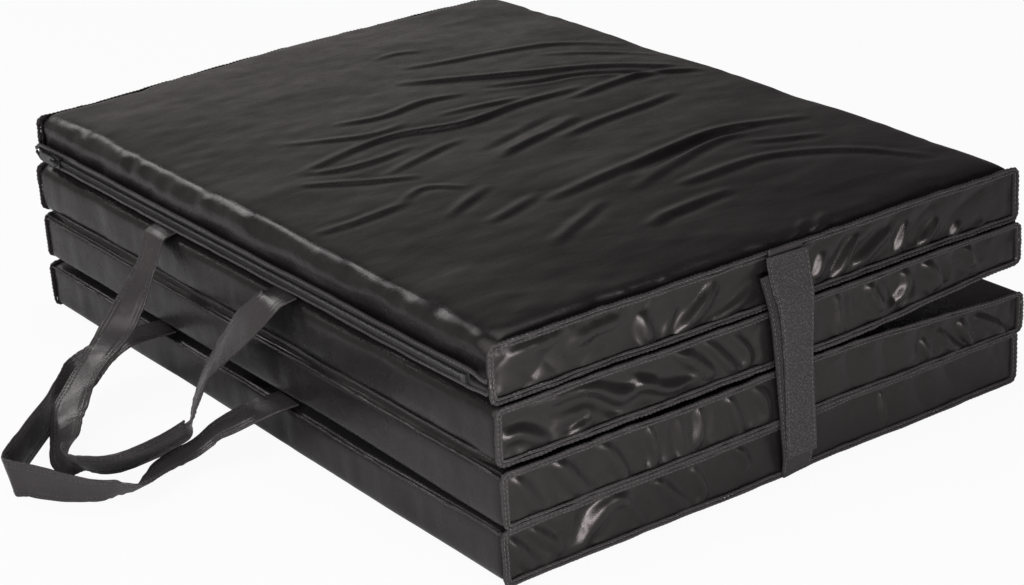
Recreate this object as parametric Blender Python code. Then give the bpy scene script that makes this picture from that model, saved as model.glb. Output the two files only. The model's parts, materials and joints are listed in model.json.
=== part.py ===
"""Folding exercise mat: four foam panels in sewn nylon covers, folded in a stack.

Metres, +Z up. X runs across the folds and Y runs along them. The origin is the middle of the
bottom panel's underside, on the floor. The carrying handles are on the -X side and the closing
straps are on the -Y side.
"""

import math

import bmesh
import bpy
from mathutils import Vector

# Panels
PANEL_LENGTH = 0.450
PANEL_WIDTH = 0.610
FOAM_THICKNESS = 0.0380
FOAM_CLEARANCE = 0.0003
COVER_WALL = 0.0004
EDGE_RADIUS = 0.0090
FOLD_SETBACK = 0.0012  # from the hinge plane to each cover's side
TOP_CROWN = 0.0070  # how far the top cover puffs up in its middle
END_TUCK = 0.0008  # how far a cover draws in at its gusset seams
END_TUCK_REACH = 0.022
TOP_SLIP = 0.0040  # the top panel sits this far back along the fold
LOWER_SLIP = -0.0030  # the second panel from the floor sits this far forward

# Stack
STACK_GAP = 0.0003  # between two panels pressed together
PAIR_GAP = 0.0023  # between the two folded pairs, which spring apart a little

# End gussets and their seam ridges
GUSSET_DEPTH = 0.0040
SEAM_GAP = 0.0003
SEAM_RIDGE_WIDTH = 0.0034
SEAM_RIDGE_CHAMFER = 0.0009
GUSSET_SETBACK = 0.0024  # from the ridge's front to the cloth panel inside it
GUSSET_PUFF = 0.0016
GUSSET_PUFF_INSET = 0.0120

# Fold webs, the doubled cloth that joins two panels
WEB_THICKNESS = 0.0008
WEB_GAP = 0.0003
WEB_HALF_HEIGHT = 0.0110
WEB_SHOULDER = 0.0055
WEB_TUCK = 0.0022  # how far the web dips into the groove between the panels
WEB_END_MARGIN = 0.0070

# Carrying handles
HANDLE_WIDTH = 0.028
HANDLE_THICKNESS = 0.0016
HANDLE_ROOT_OUT = 0.0008  # from the hinge plane out to where a handle leaves its groove
HANDLE_ROOT_GAP = 0.0004  # between a handle's sewn end and the covers beside it
HANDLE_CENTRE = 0.0235  # along Y, halfway between a handle's two sewn ends
UPPER_HANDLE_SPREAD = 0.166  # between the middles of its two sewn ends
LOWER_HANDLE_SPREAD = 0.160
UPPER_HANDLE_REACH = 0.130  # from its seam out to its far bend on the floor
LOWER_HANDLE_REACH = 0.171

# Closing straps
STRAP_WIDTH = 0.025
STRAP_THICKNESS = 0.0014
STRAP_GAP = 0.0006  # between one layer and the next
STRAP_FOLD_DROP = 0.0045  # how far the hook strap runs straight down from its seam
STRAP_SLANT_ROOM = 1.5  # extra room between the straps where they slant
HOOK_STRAP_SEAM_WIDTH = 0.033  # it spreads where it is sewn in
HOOK_STRAP_TOP_X = 0.008
HOOK_STRAP_LEAN = 0.005  # how far its free end hangs to the right of its seam
HOOK_STRAP_FREE_END = 0.016  # height of its cut end above the floor
HOOK_STRAP_TOP_DROP = 0.0020  # from the top of the panel down to its seam
LOOP_STRAP_FOOT_X = 0.013
LOOP_STRAP_LEAN = -0.015  # its free end stands to the left of its foot
LOOP_STRAP_TOP_DROP = 0.0130  # from the top of the panel down to its cut end
LOOP_STRAP_FOOT_RISE = 0.0020  # from the floor up to its seam
LOOP_STRAP_SEWN_LENGTH = 0.0040  # how far it runs straight up from there
LOOP_STRAP_CLEAR_RISE = 0.0180  # from its seam up to where it clears the second panel
LOOP_STRAP_LEDGE_DROP = 0.0040  # from the top panel down to where it starts to slant
STRAP_TAB_WIDTH = 0.028
STRAP_TAB_HEIGHT = 0.0060
STRAP_TAB_OVERLAP = 0.0020  # how far the hook strap's end covers the tab

# Zip along the top panel's handle side
ZIP_HEIGHT = 0.0130  # above the underside of the top panel
ZIP_END_MARGIN = 0.018
ZIP_TAPE_WIDTH = 0.0130
ZIP_TAPE_THICKNESS = 0.0008
ZIP_GAP = 0.0003
ZIP_COIL_WIDTH = 0.0052
ZIP_COIL_RISE = 0.0020
ZIP_STOP_LENGTH = 0.0050
SLIDER_LENGTH = 0.0110
SLIDER_WALL = 0.0010
SLIDER_CLEARANCE = 0.0004
SLIDER_END_DISTANCE = 0.0300  # from the rear end of the tape to the middle of the slider
BRIDGE_LENGTH = 0.0070
BRIDGE_BAR = 0.0011
BRIDGE_RISE = 0.0019  # clear height under the bridge
BRIDGE_WIDTH = 0.0024
PULL_LENGTH = 0.0240
PULL_WIDTH = 0.0066
PULL_THICKNESS = 0.0010
PULL_BAR = 0.0012
PULL_EYE_LENGTH = 0.0052
PULL_EYE_CLEARANCE = 0.0006

# How finely the curved pieces are drawn
ARC_STEPS = 4
CROWN_STEPS_X = 10
CROWN_STEPS_Y = 10
ROUTE_STEPS = 3

# Worked out from the sizes above
PANEL_THICKNESS = FOAM_THICKNESS + 2 * (FOAM_CLEARANCE + COVER_WALL)
SIDE = PANEL_LENGTH / 2 - FOLD_SETBACK
HALF_WIDTH = PANEL_WIDTH / 2
COVER_END = HALF_WIDTH - GUSSET_DEPTH
FOLD_X = PANEL_LENGTH / 2
SLIDER_OUTER = (
    (SIDE + ZIP_GAP + ZIP_TAPE_THICKNESS + ZIP_GAP + ZIP_COIL_RISE)
    + (SLIDER_CLEARANCE + SLIDER_WALL + BRIDGE_RISE + BRIDGE_BAR)
)
# Opened at the middle fold, the top panel's zip lies beside the bottom panel's cover.
MIDDLE_FOLD_X = (SIDE + SLIDER_OUTER + SLIDER_CLEARANCE) / 2

PANEL_BASES = {}
PANEL_BASES["bottom"] = 0.0
PANEL_BASES["lower"] = PANEL_BASES["bottom"] + PANEL_THICKNESS + STACK_GAP
PANEL_BASES["upper"] = PANEL_BASES["lower"] + PANEL_THICKNESS + PAIR_GAP
PANEL_BASES["top"] = PANEL_BASES["upper"] + PANEL_THICKNESS + STACK_GAP
PANEL_SLIPS = {"bottom": 0.0, "lower": LOWER_SLIP, "upper": 0.0, "top": TOP_SLIP}

LOWER_FOLD_Z = PANEL_BASES["lower"] - STACK_GAP / 2
MIDDLE_FOLD_Z = PANEL_BASES["upper"] - PAIR_GAP / 2
UPPER_FOLD_Z = PANEL_BASES["top"] - STACK_GAP / 2
TOP_FRONT_Y = -HALF_WIDTH + TOP_SLIP
STACK_FRONT_Y = -HALF_WIDTH + min(PANEL_SLIPS.values())

# Each handle's route, from one sewn end to the other: distance out from the mat as a share of its
# reach, distance along Y from the handles' centre as a share of its spread, height as a share of
# its seam's height, then which way its width points.
UPPER_HANDLE_ROUTE = (
    (0.000, 0.492, 1.000, (0.00, 1.00, 0.00)),
    (0.020, 0.491, 0.980, (0.00, 1.00, 0.00)),
    (0.098, 0.474, 0.827, (-0.04, 0.99, -0.05)),
    (0.190, 0.473, 0.670, (0.28, 0.95, -0.09)),
    (0.344, 0.458, 0.480, (0.58, 0.81, -0.06)),
    (0.509, 0.422, 0.360, (0.41, 0.89, -0.19)),
    (0.625, 0.387, 0.273, (0.40, 0.88, -0.26)),
    (0.761, 0.301, 0.190, (0.44, 0.89, -0.06)),
    (0.873, 0.174, 0.136, (0.14, 0.95, -0.28)),
    (0.998, -0.023, 0.120, (-0.07, 0.90, -0.40)),
    (0.918, -0.149, 0.111, (-0.23, 0.63, -0.74)),
    (0.792, -0.195, 0.107, (-0.21, 0.57, -0.79)),
    (0.584, -0.176, 0.109, (-0.20, 0.55, -0.81)),
    (0.406, -0.137, 0.116, (-0.19, 0.51, -0.84)),
    (0.336, -0.136, 0.153, (-0.12, 0.60, -0.79)),
    (0.265, -0.111, 0.281, (-0.32, 0.88, -0.31)),
    (0.198, -0.146, 0.463, (-0.28, 0.91, -0.30)),
    (0.156, -0.257, 0.645, (-0.20, 0.97, -0.15)),
    (0.124, -0.399, 0.827, (-0.06, 0.99, -0.06)),
    (0.065, -0.485, 0.955, (-0.02, 1.00, -0.02)),
    (0.020, -0.499, 0.990, (0.00, 1.00, 0.00)),
    (0.000, -0.500, 1.000, (0.00, 1.00, 0.00)),
)
LOWER_HANDLE_ROUTE = (
    (0.000, 0.597, 1.000, (0.00, 1.00, 0.00)),
    (0.016, 0.597, 1.000, (0.00, 1.00, 0.00)),
    (0.051, 0.606, 1.000, (0.00, 1.00, 0.00)),
    (0.179, 0.604, 1.000, (0.02, 1.00, 0.06)),
    (0.296, 0.627, 0.759, (0.00, 0.92, 0.38)),
    (0.434, 0.613, 0.430, (0.20, 0.25, 0.95)),
    (0.634, 0.410, 0.384, (0.08, 0.01, 1.00)),
    (0.839, 0.194, 0.379, (0.11, -0.01, 0.99)),
    (1.002, -0.005, 0.379, (0.15, 0.18, 0.97)),
    (0.966, -0.111, 0.374, (0.05, -0.21, 0.98)),
    (0.896, -0.241, 0.359, (0.10, -0.34, 0.93)),
    (0.822, -0.345, 0.339, (0.23, -0.45, 0.86)),
    (0.741, -0.401, 0.314, (0.27, -0.60, 0.75)),
    (0.623, -0.413, 0.223, (0.38, -0.80, 0.45)),
    (0.440, -0.299, 0.215, (0.30, -0.94, 0.13)),
    (0.295, -0.271, 0.291, (0.21, -0.97, 0.10)),
    (0.207, -0.298, 0.531, (0.13, -0.97, 0.15)),
    (0.142, -0.384, 0.784, (0.10, -0.98, 0.10)),
    (0.070, -0.439, 0.961, (0.03, -0.99, 0.03)),
    (0.016, -0.454, 0.996, (0.00, -1.00, 0.00)),
    (0.000, -0.456, 1.000, (0.00, -1.00, 0.00)),
)


def clear_scene():
    for thing in list(bpy.data.objects):
        bpy.data.objects.remove(thing, do_unlink=True)


def material(name, colour, roughness, metallic=0.0):
    """A plain Principled material; colour is linear red, green and blue."""
    made = bpy.data.materials.new(name)
    made.use_nodes = True
    shader = made.node_tree.nodes["Principled BSDF"]
    shader.inputs["Base Color"].default_value = (*colour, 1.0)
    shader.inputs["Roughness"].default_value = roughness
    shader.inputs["Metallic"].default_value = metallic
    made.diffuse_color = (*colour, 1.0)
    return made


def pivot(name, x, y, z, parent=None):
    """An empty on a joint's axis, which the moving pieces hang from."""
    empty = bpy.data.objects.new(name, None)
    empty.empty_display_size = PANEL_THICKNESS / 2
    empty["place"] = (x, y, z)
    parent_place = Vector(parent["place"]) if parent else Vector()
    empty.location = Vector((x, y, z)) - parent_place
    empty.parent = parent
    bpy.context.scene.collection.objects.link(empty)
    return empty


def add_piece(name, mesh, finish, parent=None):
    """Makes a node from a mesh drawn in the mat's own frame, with its origin on its parent."""
    bmesh.ops.recalc_face_normals(mesh, faces=mesh.faces)
    if parent:
        place = Vector(parent["place"])
        bmesh.ops.translate(mesh, vec=-place, verts=mesh.verts)
    data = bpy.data.meshes.new(name)
    mesh.to_mesh(data)
    mesh.free()
    data.materials.append(finish)
    data.shade_smooth()
    data.set_sharp_from_angle(angle=math.radians(35))
    piece = bpy.data.objects.new(name, data)
    piece.parent = parent
    bpy.context.scene.collection.objects.link(piece)
    return piece


def join_loops(mesh, first, second):
    """Faces between two closed loops with the same number of points."""
    count = len(first)
    for i in range(count):
        j = (i + 1) % count
        mesh.faces.new((first[i], first[j], second[j], second[i]))


def add_loop(mesh, points):
    return [mesh.verts.new(point) for point in points]


def solid_loft(loops):
    """A closed solid through a row of closed loops, capped at both ends."""
    mesh = bmesh.new()
    rows = [add_loop(mesh, points) for points in loops]
    for first, second in zip(rows, rows[1:]):
        join_loops(mesh, first, second)
    mesh.faces.new(list(reversed(rows[0])))
    mesh.faces.new(rows[-1])
    return mesh


def sleeve_loft(outer_loops, inner_loops):
    """An open-ended sleeve: an outer and an inner skin, joined by a rim at each end."""
    mesh = bmesh.new()
    outer = [add_loop(mesh, points) for points in outer_loops]
    inner = [add_loop(mesh, points) for points in inner_loops]
    for rows in (outer, inner):
        for first, second in zip(rows, rows[1:]):
            join_loops(mesh, first, second)
    for end in (0, -1):
        join_loops(mesh, outer[end], inner[end])
    return mesh


def prism(outline, axis, start, end):
    """A closed solid: an outline pushed along X, Y or Z. The outline's pairs are the other two."""
    places = {
        "X": lambda a, b, along: (along, a, b),
        "Y": lambda a, b, along: (a, along, b),
        "Z": lambda a, b, along: (a, b, along),
    }
    place = places[axis]
    return solid_loft([[place(a, b, along) for a, b in outline] for along in (start, end)])


def rectangle(low_a, high_a, low_b, high_b):
    return [(low_a, low_b), (high_a, low_b), (high_a, high_b), (low_a, high_b)]


def smooth_route(points, steps):
    """Points on a Catmull-Rom curve through the given ones."""
    padded = [2 * points[0] - points[1], *points, 2 * points[-1] - points[-2]]
    route = []
    for i in range(1, len(padded) - 2):
        before, here, there, after = padded[i - 1 : i + 3]
        for step in range(steps):
            t = step / steps
            bend = 2 * before - 5 * here + 4 * there - after
            twist = 3 * here - before - 3 * there + after
            route.append(here + 0.5 * t * ((there - before) + t * (bend + t * twist)))
    route.append(padded[-2])
    return route


def ribbon(centres, ways, widths, thickness):
    """A flat strap along a row of points, with its width and the way that it points at each.

    Its two ends are cut along their width's direction, as a strap's end is in a straight seam.
    """
    loops = []
    last = len(centres) - 1
    for i, centre in enumerate(centres):
        along = (centres[min(i + 1, last)] - centres[max(i - 1, 0)]).normalized()
        across = ways[i].normalized()
        if 0 < i < last:
            across = (across - along * across.dot(along)).normalized()
        face = along.cross(across)
        half = across * widths[i] / 2 / face.length
        flat = face.normalized() * thickness / 2
        corners = ((-half, -flat), (half, -flat), (half, flat), (-half, flat))
        loops.append([centre + aside + up for aside, up in corners])
    return solid_loft(loops)


def corner_arcs(half, low, high, radius):
    """The four rounded corners of a box in X and Z: lower right, upper right and on round."""
    corners = (
        (half - radius, low + radius, -90),
        (half - radius, high - radius, 0),
        (radius - half, high - radius, 90),
        (radius - half, low + radius, 180),
    )
    arcs = []
    for x, z, start in corners:
        arc = []
        for step in range(ARC_STEPS + 1):
            angle = math.radians(start + 90 * step / ARC_STEPS)
            arc.append((x + radius * math.cos(angle), z + radius * math.sin(angle)))
        arcs.append(arc)
    return arcs


def panel_outline(inset, base, crown=0.0):
    """A panel's rounded cross-section in X and Z, with its top raised by the crown."""
    half = SIDE - inset
    low, high = base + inset, base + PANEL_THICKNESS - inset
    radius = EDGE_RADIUS - inset
    lower_right, upper_right, upper_left, lower_left = corner_arcs(half, low, high, radius)
    top = []
    if crown:
        for step in range(1, CROWN_STEPS_X):
            top.append(((half - radius) * (1 - 2 * step / CROWN_STEPS_X), high))
    outline = [*lower_right, *upper_right, *top, *upper_left, *lower_left]
    raised = []
    for x, z in outline:
        on_top = max(0.0, (z - (high - radius)) / radius)
        raised.append((x, z + crown * on_top * (1 - abs(x / half) ** 3)))
    return raised


def panel_stations(end, fine):
    """Places along Y where a panel's cross-section is drawn, with its tuck and its rise."""
    if fine:
        turns = [i / CROWN_STEPS_Y - 0.5 for i in range(CROWN_STEPS_Y + 1)]
        places = [end * math.sin(math.pi * turn) for turn in turns]
    else:
        places = [-end, -end + END_TUCK_REACH, end - END_TUCK_REACH, end]
    stations = []
    for y in places:
        tuck = END_TUCK * max(0.0, 1 - (end - abs(y)) / END_TUCK_REACH)
        rise = 1 - abs(y / end) ** 3
        stations.append((y, tuck, rise))
    return stations


def panel_loops(inset, base, slip, end, crown):
    loops = []
    for y, tuck, rise in panel_stations(end, crown > 0):
        # A trace of crown is kept at the ends, so that every loop has as many points.
        lift = max(crown * rise, 1e-9) if crown else 0.0
        loops.append([(x, y + slip, z) for x, z in panel_outline(inset + tuck, base, lift)])
    return loops


def make_cover(panel, base, slip, crown, finish, parent):
    """The nylon wrapped round the foam's top, bottom and long sides, open at both ends."""
    outer = panel_loops(0.0, base, slip, COVER_END, crown)
    inner = panel_loops(COVER_WALL, base, slip, COVER_END, crown)
    add_piece(f"{panel}_panel_cover", sleeve_loft(outer, inner), finish, parent)


def make_foam(panel, base, slip, crown, finish, parent):
    inset = COVER_WALL + FOAM_CLEARANCE
    mesh = solid_loft(panel_loops(inset, base, slip, COVER_END, crown))
    add_piece(f"{panel}_panel_foam", mesh, finish, parent)


def gusset_loop(inset, base, y):
    """A rounded rectangle round a panel's end."""
    half = SIDE - END_TUCK / 2 - inset
    low, high = base + END_TUCK / 2 + inset, base + PANEL_THICKNESS - END_TUCK / 2 - inset
    radius = max(EDGE_RADIUS - inset, EDGE_RADIUS / 3)
    arcs = corner_arcs(half, low, high, radius)
    return [(x, y, z) for arc in arcs for x, z in arc]


def make_gusset(panel, end_name, facing, base, slip, finish, parent):
    """The end wall of a cover: cloth puffed out inside a raised, stitched seam ridge."""
    front = slip + facing * HALF_WIDTH
    back = front - facing * (GUSSET_DEPTH - SEAM_GAP)
    cloth = front - facing * GUSSET_SETBACK
    loops = [
        gusset_loop(0.0, base, back),
        gusset_loop(0.0, base, front - facing * SEAM_RIDGE_CHAMFER),
        gusset_loop(SEAM_RIDGE_CHAMFER, base, front),
        gusset_loop(SEAM_RIDGE_WIDTH - SEAM_RIDGE_CHAMFER, base, front),
        gusset_loop(SEAM_RIDGE_WIDTH, base, cloth),
        gusset_loop(GUSSET_PUFF_INSET, base, cloth + facing * GUSSET_PUFF),
    ]
    add_piece(f"{panel}_panel_{end_name}_gusset", solid_loft(loops), finish, parent)


def make_panel(panel, finishes, parent):
    base, slip = PANEL_BASES[panel], PANEL_SLIPS[panel]
    crown = TOP_CROWN if panel == "top" else 0.0
    make_foam(panel, base, slip, crown, finishes["foam"], parent)
    make_cover(panel, base, slip, crown, finishes["nylon"], parent)
    make_gusset(panel, "front", -1, base, slip, finishes["nylon"], parent)
    make_gusset(panel, "rear", 1, base, slip, finishes["nylon"], parent)


def make_fold_web(name, below, above, side, fold_z, finish, parent):
    """The doubled cloth across a fold, dipping into the groove between the two panels."""
    top_gap = PANEL_BASES[above] - (PANEL_BASES[below] + PANEL_THICKNESS)
    reach = WEB_HALF_HEIGHT + top_gap / 2
    shoulder = WEB_SHOULDER + top_gap / 2
    path = (
        (WEB_GAP, -reach),
        (WEB_GAP, -shoulder - WEB_THICKNESS),
        (-WEB_TUCK, -WEB_THICKNESS),
        (-WEB_TUCK, WEB_THICKNESS),
        (WEB_GAP, shoulder + WEB_THICKNESS),
        (WEB_GAP, reach),
    )
    inner = [(side * (SIDE + out), fold_z + rise) for out, rise in path]
    outer = [(side * (SIDE + out + WEB_THICKNESS), fold_z + rise) for out, rise in path]
    outline = inner + list(reversed(outer))
    slips = (PANEL_SLIPS[below], PANEL_SLIPS[above])
    start = max(slips) - COVER_END + WEB_END_MARGIN
    end = min(slips) + COVER_END - WEB_END_MARGIN
    add_piece(name, prism(outline, "Y", start, end), finish, parent)


def groove_depth(room):
    """How far in from the stack's side two stacked covers leave this much room each way."""
    drop = max(0.0, EDGE_RADIUS + STACK_GAP / 2 - room)
    return EDGE_RADIUS - math.sqrt(EDGE_RADIUS**2 - drop**2)


def make_handle(name, route, reach, spread, seam_z, finish, parent):
    """A loop of webbing, both ends sewn into the groove between two panels."""
    centres, ways = [], []
    for out, share, height, way in route:
        x = -FOLD_X - HANDLE_ROOT_OUT - out * reach
        centres.append(Vector((x, HANDLE_CENTRE + share * spread, height * seam_z)))
        ways.append(Vector((-way[0], way[1], way[2])))
    centres = smooth_route(centres, ROUTE_STEPS)
    ways = smooth_route(ways, ROUTE_STEPS)
    root_x = -SIDE + groove_depth(HANDLE_THICKNESS / 2 + HANDLE_ROOT_GAP)
    first, last = (Vector((root_x, centres[end].y, centres[end].z)) for end in (0, -1))
    centres = [first, *centres, last]
    ways = [ways[0], *ways, ways[-1]]
    widths = [HANDLE_WIDTH] * len(centres)
    add_piece(name, ribbon(centres, ways, widths, HANDLE_THICKNESS), finish, parent)


def hook_strap_seam():
    """Where the hook strap's hinge line passes, in Y and Z."""
    y = TOP_FRONT_Y - 3 * SEAM_GAP - 1.5 * STRAP_THICKNESS
    z = PANEL_BASES["top"] + PANEL_THICKNESS - HOOK_STRAP_TOP_DROP
    return y, z


def strap_layer_y(layer):
    """The middle of the loop strap (0) or the hook strap (1), flat on the stack's front."""
    return STACK_FRONT_Y - (layer + 1) * STRAP_GAP - (layer + 0.5) * STRAP_THICKNESS


def hook_strap_y(z):
    """The hook strap slants out from its seam to the ledge below the top panel, then drops."""
    seam_y, seam_z = hook_strap_seam()
    ledge_z = PANEL_BASES["top"]
    rise = max(0.0, (z - ledge_z) / (seam_z - ledge_z))
    flat_y = strap_layer_y(1)
    return flat_y + (seam_y - flat_y) * rise


def make_loop_strap(finish, parent):
    """Sewn in at the bottom seam, it stands against the stack's front."""
    foot = LOOP_STRAP_FOOT_RISE
    ledge_z = PANEL_BASES["top"]
    top = ledge_z + PANEL_THICKNESS - LOOP_STRAP_TOP_DROP
    foot_y = -HALF_WIDTH - STRAP_GAP - STRAP_THICKNESS / 2
    flat_y = strap_layer_y(0)
    top_y = hook_strap_y(top) + STRAP_SLANT_ROOM * (STRAP_THICKNESS + STRAP_GAP)
    rises = (
        (foot_y, foot),
        (foot_y, foot + LOOP_STRAP_SEWN_LENGTH),
        (flat_y, foot + LOOP_STRAP_CLEAR_RISE),
        (flat_y, ledge_z / 2),
        (flat_y, ledge_z - LOOP_STRAP_LEDGE_DROP),
        (top_y, top),
    )
    points = []
    for y, z in rises:
        x = LOOP_STRAP_FOOT_X + LOOP_STRAP_LEAN * (z - foot) / (top - foot)
        points.append(Vector((x, y, z)))
    ways = [Vector((1, 0, 0))] * len(points)
    widths = [STRAP_WIDTH] * len(points)
    add_piece("loop_strap", ribbon(points, ways, widths, STRAP_THICKNESS), finish, parent)


def make_hook_strap(finish, parent):
    """Sewn in at the top seam, it hangs over the loop strap, which it grips."""
    seam_z = hook_strap_seam()[1]
    ledge_z = PANEL_BASES["top"]
    lean_start = seam_z - STRAP_FOLD_DROP
    free_z = HOOK_STRAP_FREE_END
    slant_middle, hanging_middle = (lean_start + ledge_z) / 2, (ledge_z + free_z) / 2
    heights = (seam_z, lean_start, slant_middle, ledge_z, hanging_middle, free_z)
    points, widths = [], []
    for z in heights:
        x = HOOK_STRAP_TOP_X + HOOK_STRAP_LEAN * max(0.0, lean_start - z) / (lean_start - free_z)
        y = hook_strap_y(seam_z if z >= lean_start else z)
        points.append(Vector((x, y, z)))
        spread = max(0.0, z - ledge_z) / (seam_z - ledge_z)
        widths.append(STRAP_WIDTH + (HOOK_STRAP_SEAM_WIDTH - STRAP_WIDTH) * spread)
    ways = [Vector((1, 0, 0))] * len(points)
    add_piece("hook_strap", ribbon(points, ways, widths, STRAP_THICKNESS), finish, parent)


def make_strap_tab(finish, parent):
    """The hook strap's turned end, sewn on the seam ridge above it."""
    low = hook_strap_seam()[1] - STRAP_TAB_OVERLAP
    back = TOP_FRONT_Y - SEAM_GAP
    left = HOOK_STRAP_TOP_X - STRAP_TAB_WIDTH / 2
    outline = rectangle(back - STRAP_THICKNESS, back, low, low + STRAP_TAB_HEIGHT)
    add_piece("hook_strap_tab", prism(outline, "X", left, left + STRAP_TAB_WIDTH), finish, parent)


def zip_layers():
    """Faces of the zip's layers in X, from the cover outwards, as distances from the middle."""
    tape_inner = SIDE + ZIP_GAP
    tape_outer = tape_inner + ZIP_TAPE_THICKNESS
    coil_inner = tape_outer + ZIP_GAP
    coil_outer = coil_inner + ZIP_COIL_RISE
    return tape_inner, tape_outer, coil_inner, coil_outer


def zip_span():
    """Where the zip's tape starts and ends in Y, and the height of its middle."""
    start = TOP_SLIP - COVER_END + ZIP_END_MARGIN
    end = TOP_SLIP + COVER_END - ZIP_END_MARGIN
    return start, end, PANEL_BASES["top"] + ZIP_HEIGHT


def make_zip(finishes, parent):
    tape_inner, tape_outer, coil_inner, coil_outer = zip_layers()
    start, end, z = zip_span()
    half_tape, half_coil = ZIP_TAPE_WIDTH / 2, ZIP_COIL_WIDTH / 2
    tape = rectangle(-tape_outer, -tape_inner, z - half_tape, z + half_tape)
    add_piece("zip_tape", prism(tape, "Y", start, end), finishes["webbing"], parent)
    shoulder = coil_outer - ZIP_COIL_RISE / 2
    crest = half_coil / 2
    coil = [
        (-coil_inner, z - half_coil),
        (-shoulder, z - half_coil),
        (-coil_outer, z - crest),
        (-coil_outer, z + crest),
        (-shoulder, z + half_coil),
        (-coil_inner, z + half_coil),
    ]
    coil_start = start + ZIP_STOP_LENGTH + ZIP_GAP
    coil_end = end - ZIP_STOP_LENGTH - ZIP_GAP
    add_piece("zip_coil", prism(coil, "Y", coil_start, coil_end), finishes["plastic"], parent)
    stop = rectangle(-coil_outer, -coil_inner, z - half_coil, z + half_coil)
    stops = {"front": (start, start + ZIP_STOP_LENGTH), "rear": (end - ZIP_STOP_LENGTH, end)}
    for place, (low, high) in stops.items():
        add_piece(f"zip_{place}_stop", prism(stop, "Y", low, high), finishes["metal"], parent)


def slider_middle():
    return zip_span()[1] - SLIDER_END_DISTANCE


def pull_axis_x():
    """How far out the pull's hinge pin runs, under the slider's bridge."""
    plate_outer = zip_layers()[3] + SLIDER_CLEARANCE + SLIDER_WALL
    return -(plate_outer + BRIDGE_RISE / 2)


def make_slider(finish, parent):
    """A channel that rides over the coil, with a bridge that holds the pull."""
    tape_outer, coil_outer = zip_layers()[1], zip_layers()[3]
    z = zip_span()[2]
    middle = slider_middle()
    inner_half = ZIP_COIL_WIDTH / 2 + SLIDER_CLEARANCE
    outer_half = inner_half + SLIDER_WALL
    plate_inner = coil_outer + SLIDER_CLEARANCE
    plate_outer = plate_inner + SLIDER_WALL
    foot = tape_outer + SLIDER_CLEARANCE
    channel = [
        (-foot, z - outer_half),
        (-plate_outer, z - outer_half),
        (-plate_outer, z + outer_half),
        (-foot, z + outer_half),
        (-foot, z + inner_half),
        (-plate_inner, z + inner_half),
        (-plate_inner, z - inner_half),
        (-foot, z - inner_half),
    ]
    body = prism(channel, "Y", middle - SLIDER_LENGTH / 2, middle + SLIDER_LENGTH / 2)
    slider = add_piece("zip_slider", body, finish, parent)
    sunk = plate_outer - SLIDER_WALL / 2
    half = BRIDGE_LENGTH / 2
    under = plate_outer + BRIDGE_RISE
    over = SLIDER_OUTER
    arch = [
        (-sunk, middle - half),
        (-under, middle - half),
        (-over, middle - half + BRIDGE_BAR),
        (-over, middle + half - BRIDGE_BAR),
        (-under, middle + half),
        (-sunk, middle + half),
        (-sunk, middle + half - BRIDGE_BAR),
        (-under, middle + half - BRIDGE_BAR),
        (-under, middle - half + BRIDGE_BAR),
        (-sunk, middle - half + BRIDGE_BAR),
    ]
    bridge_mesh = prism(arch, "Z", z - BRIDGE_WIDTH / 2, z + BRIDGE_WIDTH / 2)
    bridge = add_piece("bridge_helper", bridge_mesh, finish, parent)
    bridge.hide_render = True
    bridge.display_type = "WIRE"
    union = slider.modifiers.new("Bridge", "BOOLEAN")
    union.operation = "UNION"
    union.object = bridge


def make_pull(finish, parent):
    """The pull lies along the zip, its eye round the slider's bridge."""
    z = zip_span()[2]
    middle = slider_middle()
    axis_x = pull_axis_x()
    thin = PULL_THICKNESS / 2
    eye_half = BRIDGE_WIDTH / 2 + PULL_EYE_CLEARANCE
    start = middle - PULL_BAR / 2
    eye_end = start + PULL_BAR + PULL_EYE_LENGTH
    end = start + PULL_LENGTH
    half = PULL_WIDTH / 2
    mesh = bmesh.new()
    outer = rectangle(start, end, z - half, z + half)
    hole = rectangle(start + PULL_BAR, eye_end, z - eye_half, z + eye_half)
    rows = {}
    for level in (-thin, thin):
        for key, outline in (("outer", outer), ("hole", hole)):
            rows[key, level] = add_loop(mesh, [(axis_x + level, y, height) for y, height in outline])
    for level in (-thin, thin):
        join_loops(mesh, rows["outer", level], rows["hole", level])
    for key in ("outer", "hole"):
        join_loops(mesh, rows[key, -thin], rows[key, thin])
    add_piece("zip_pull", mesh, finish, parent)


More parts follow.
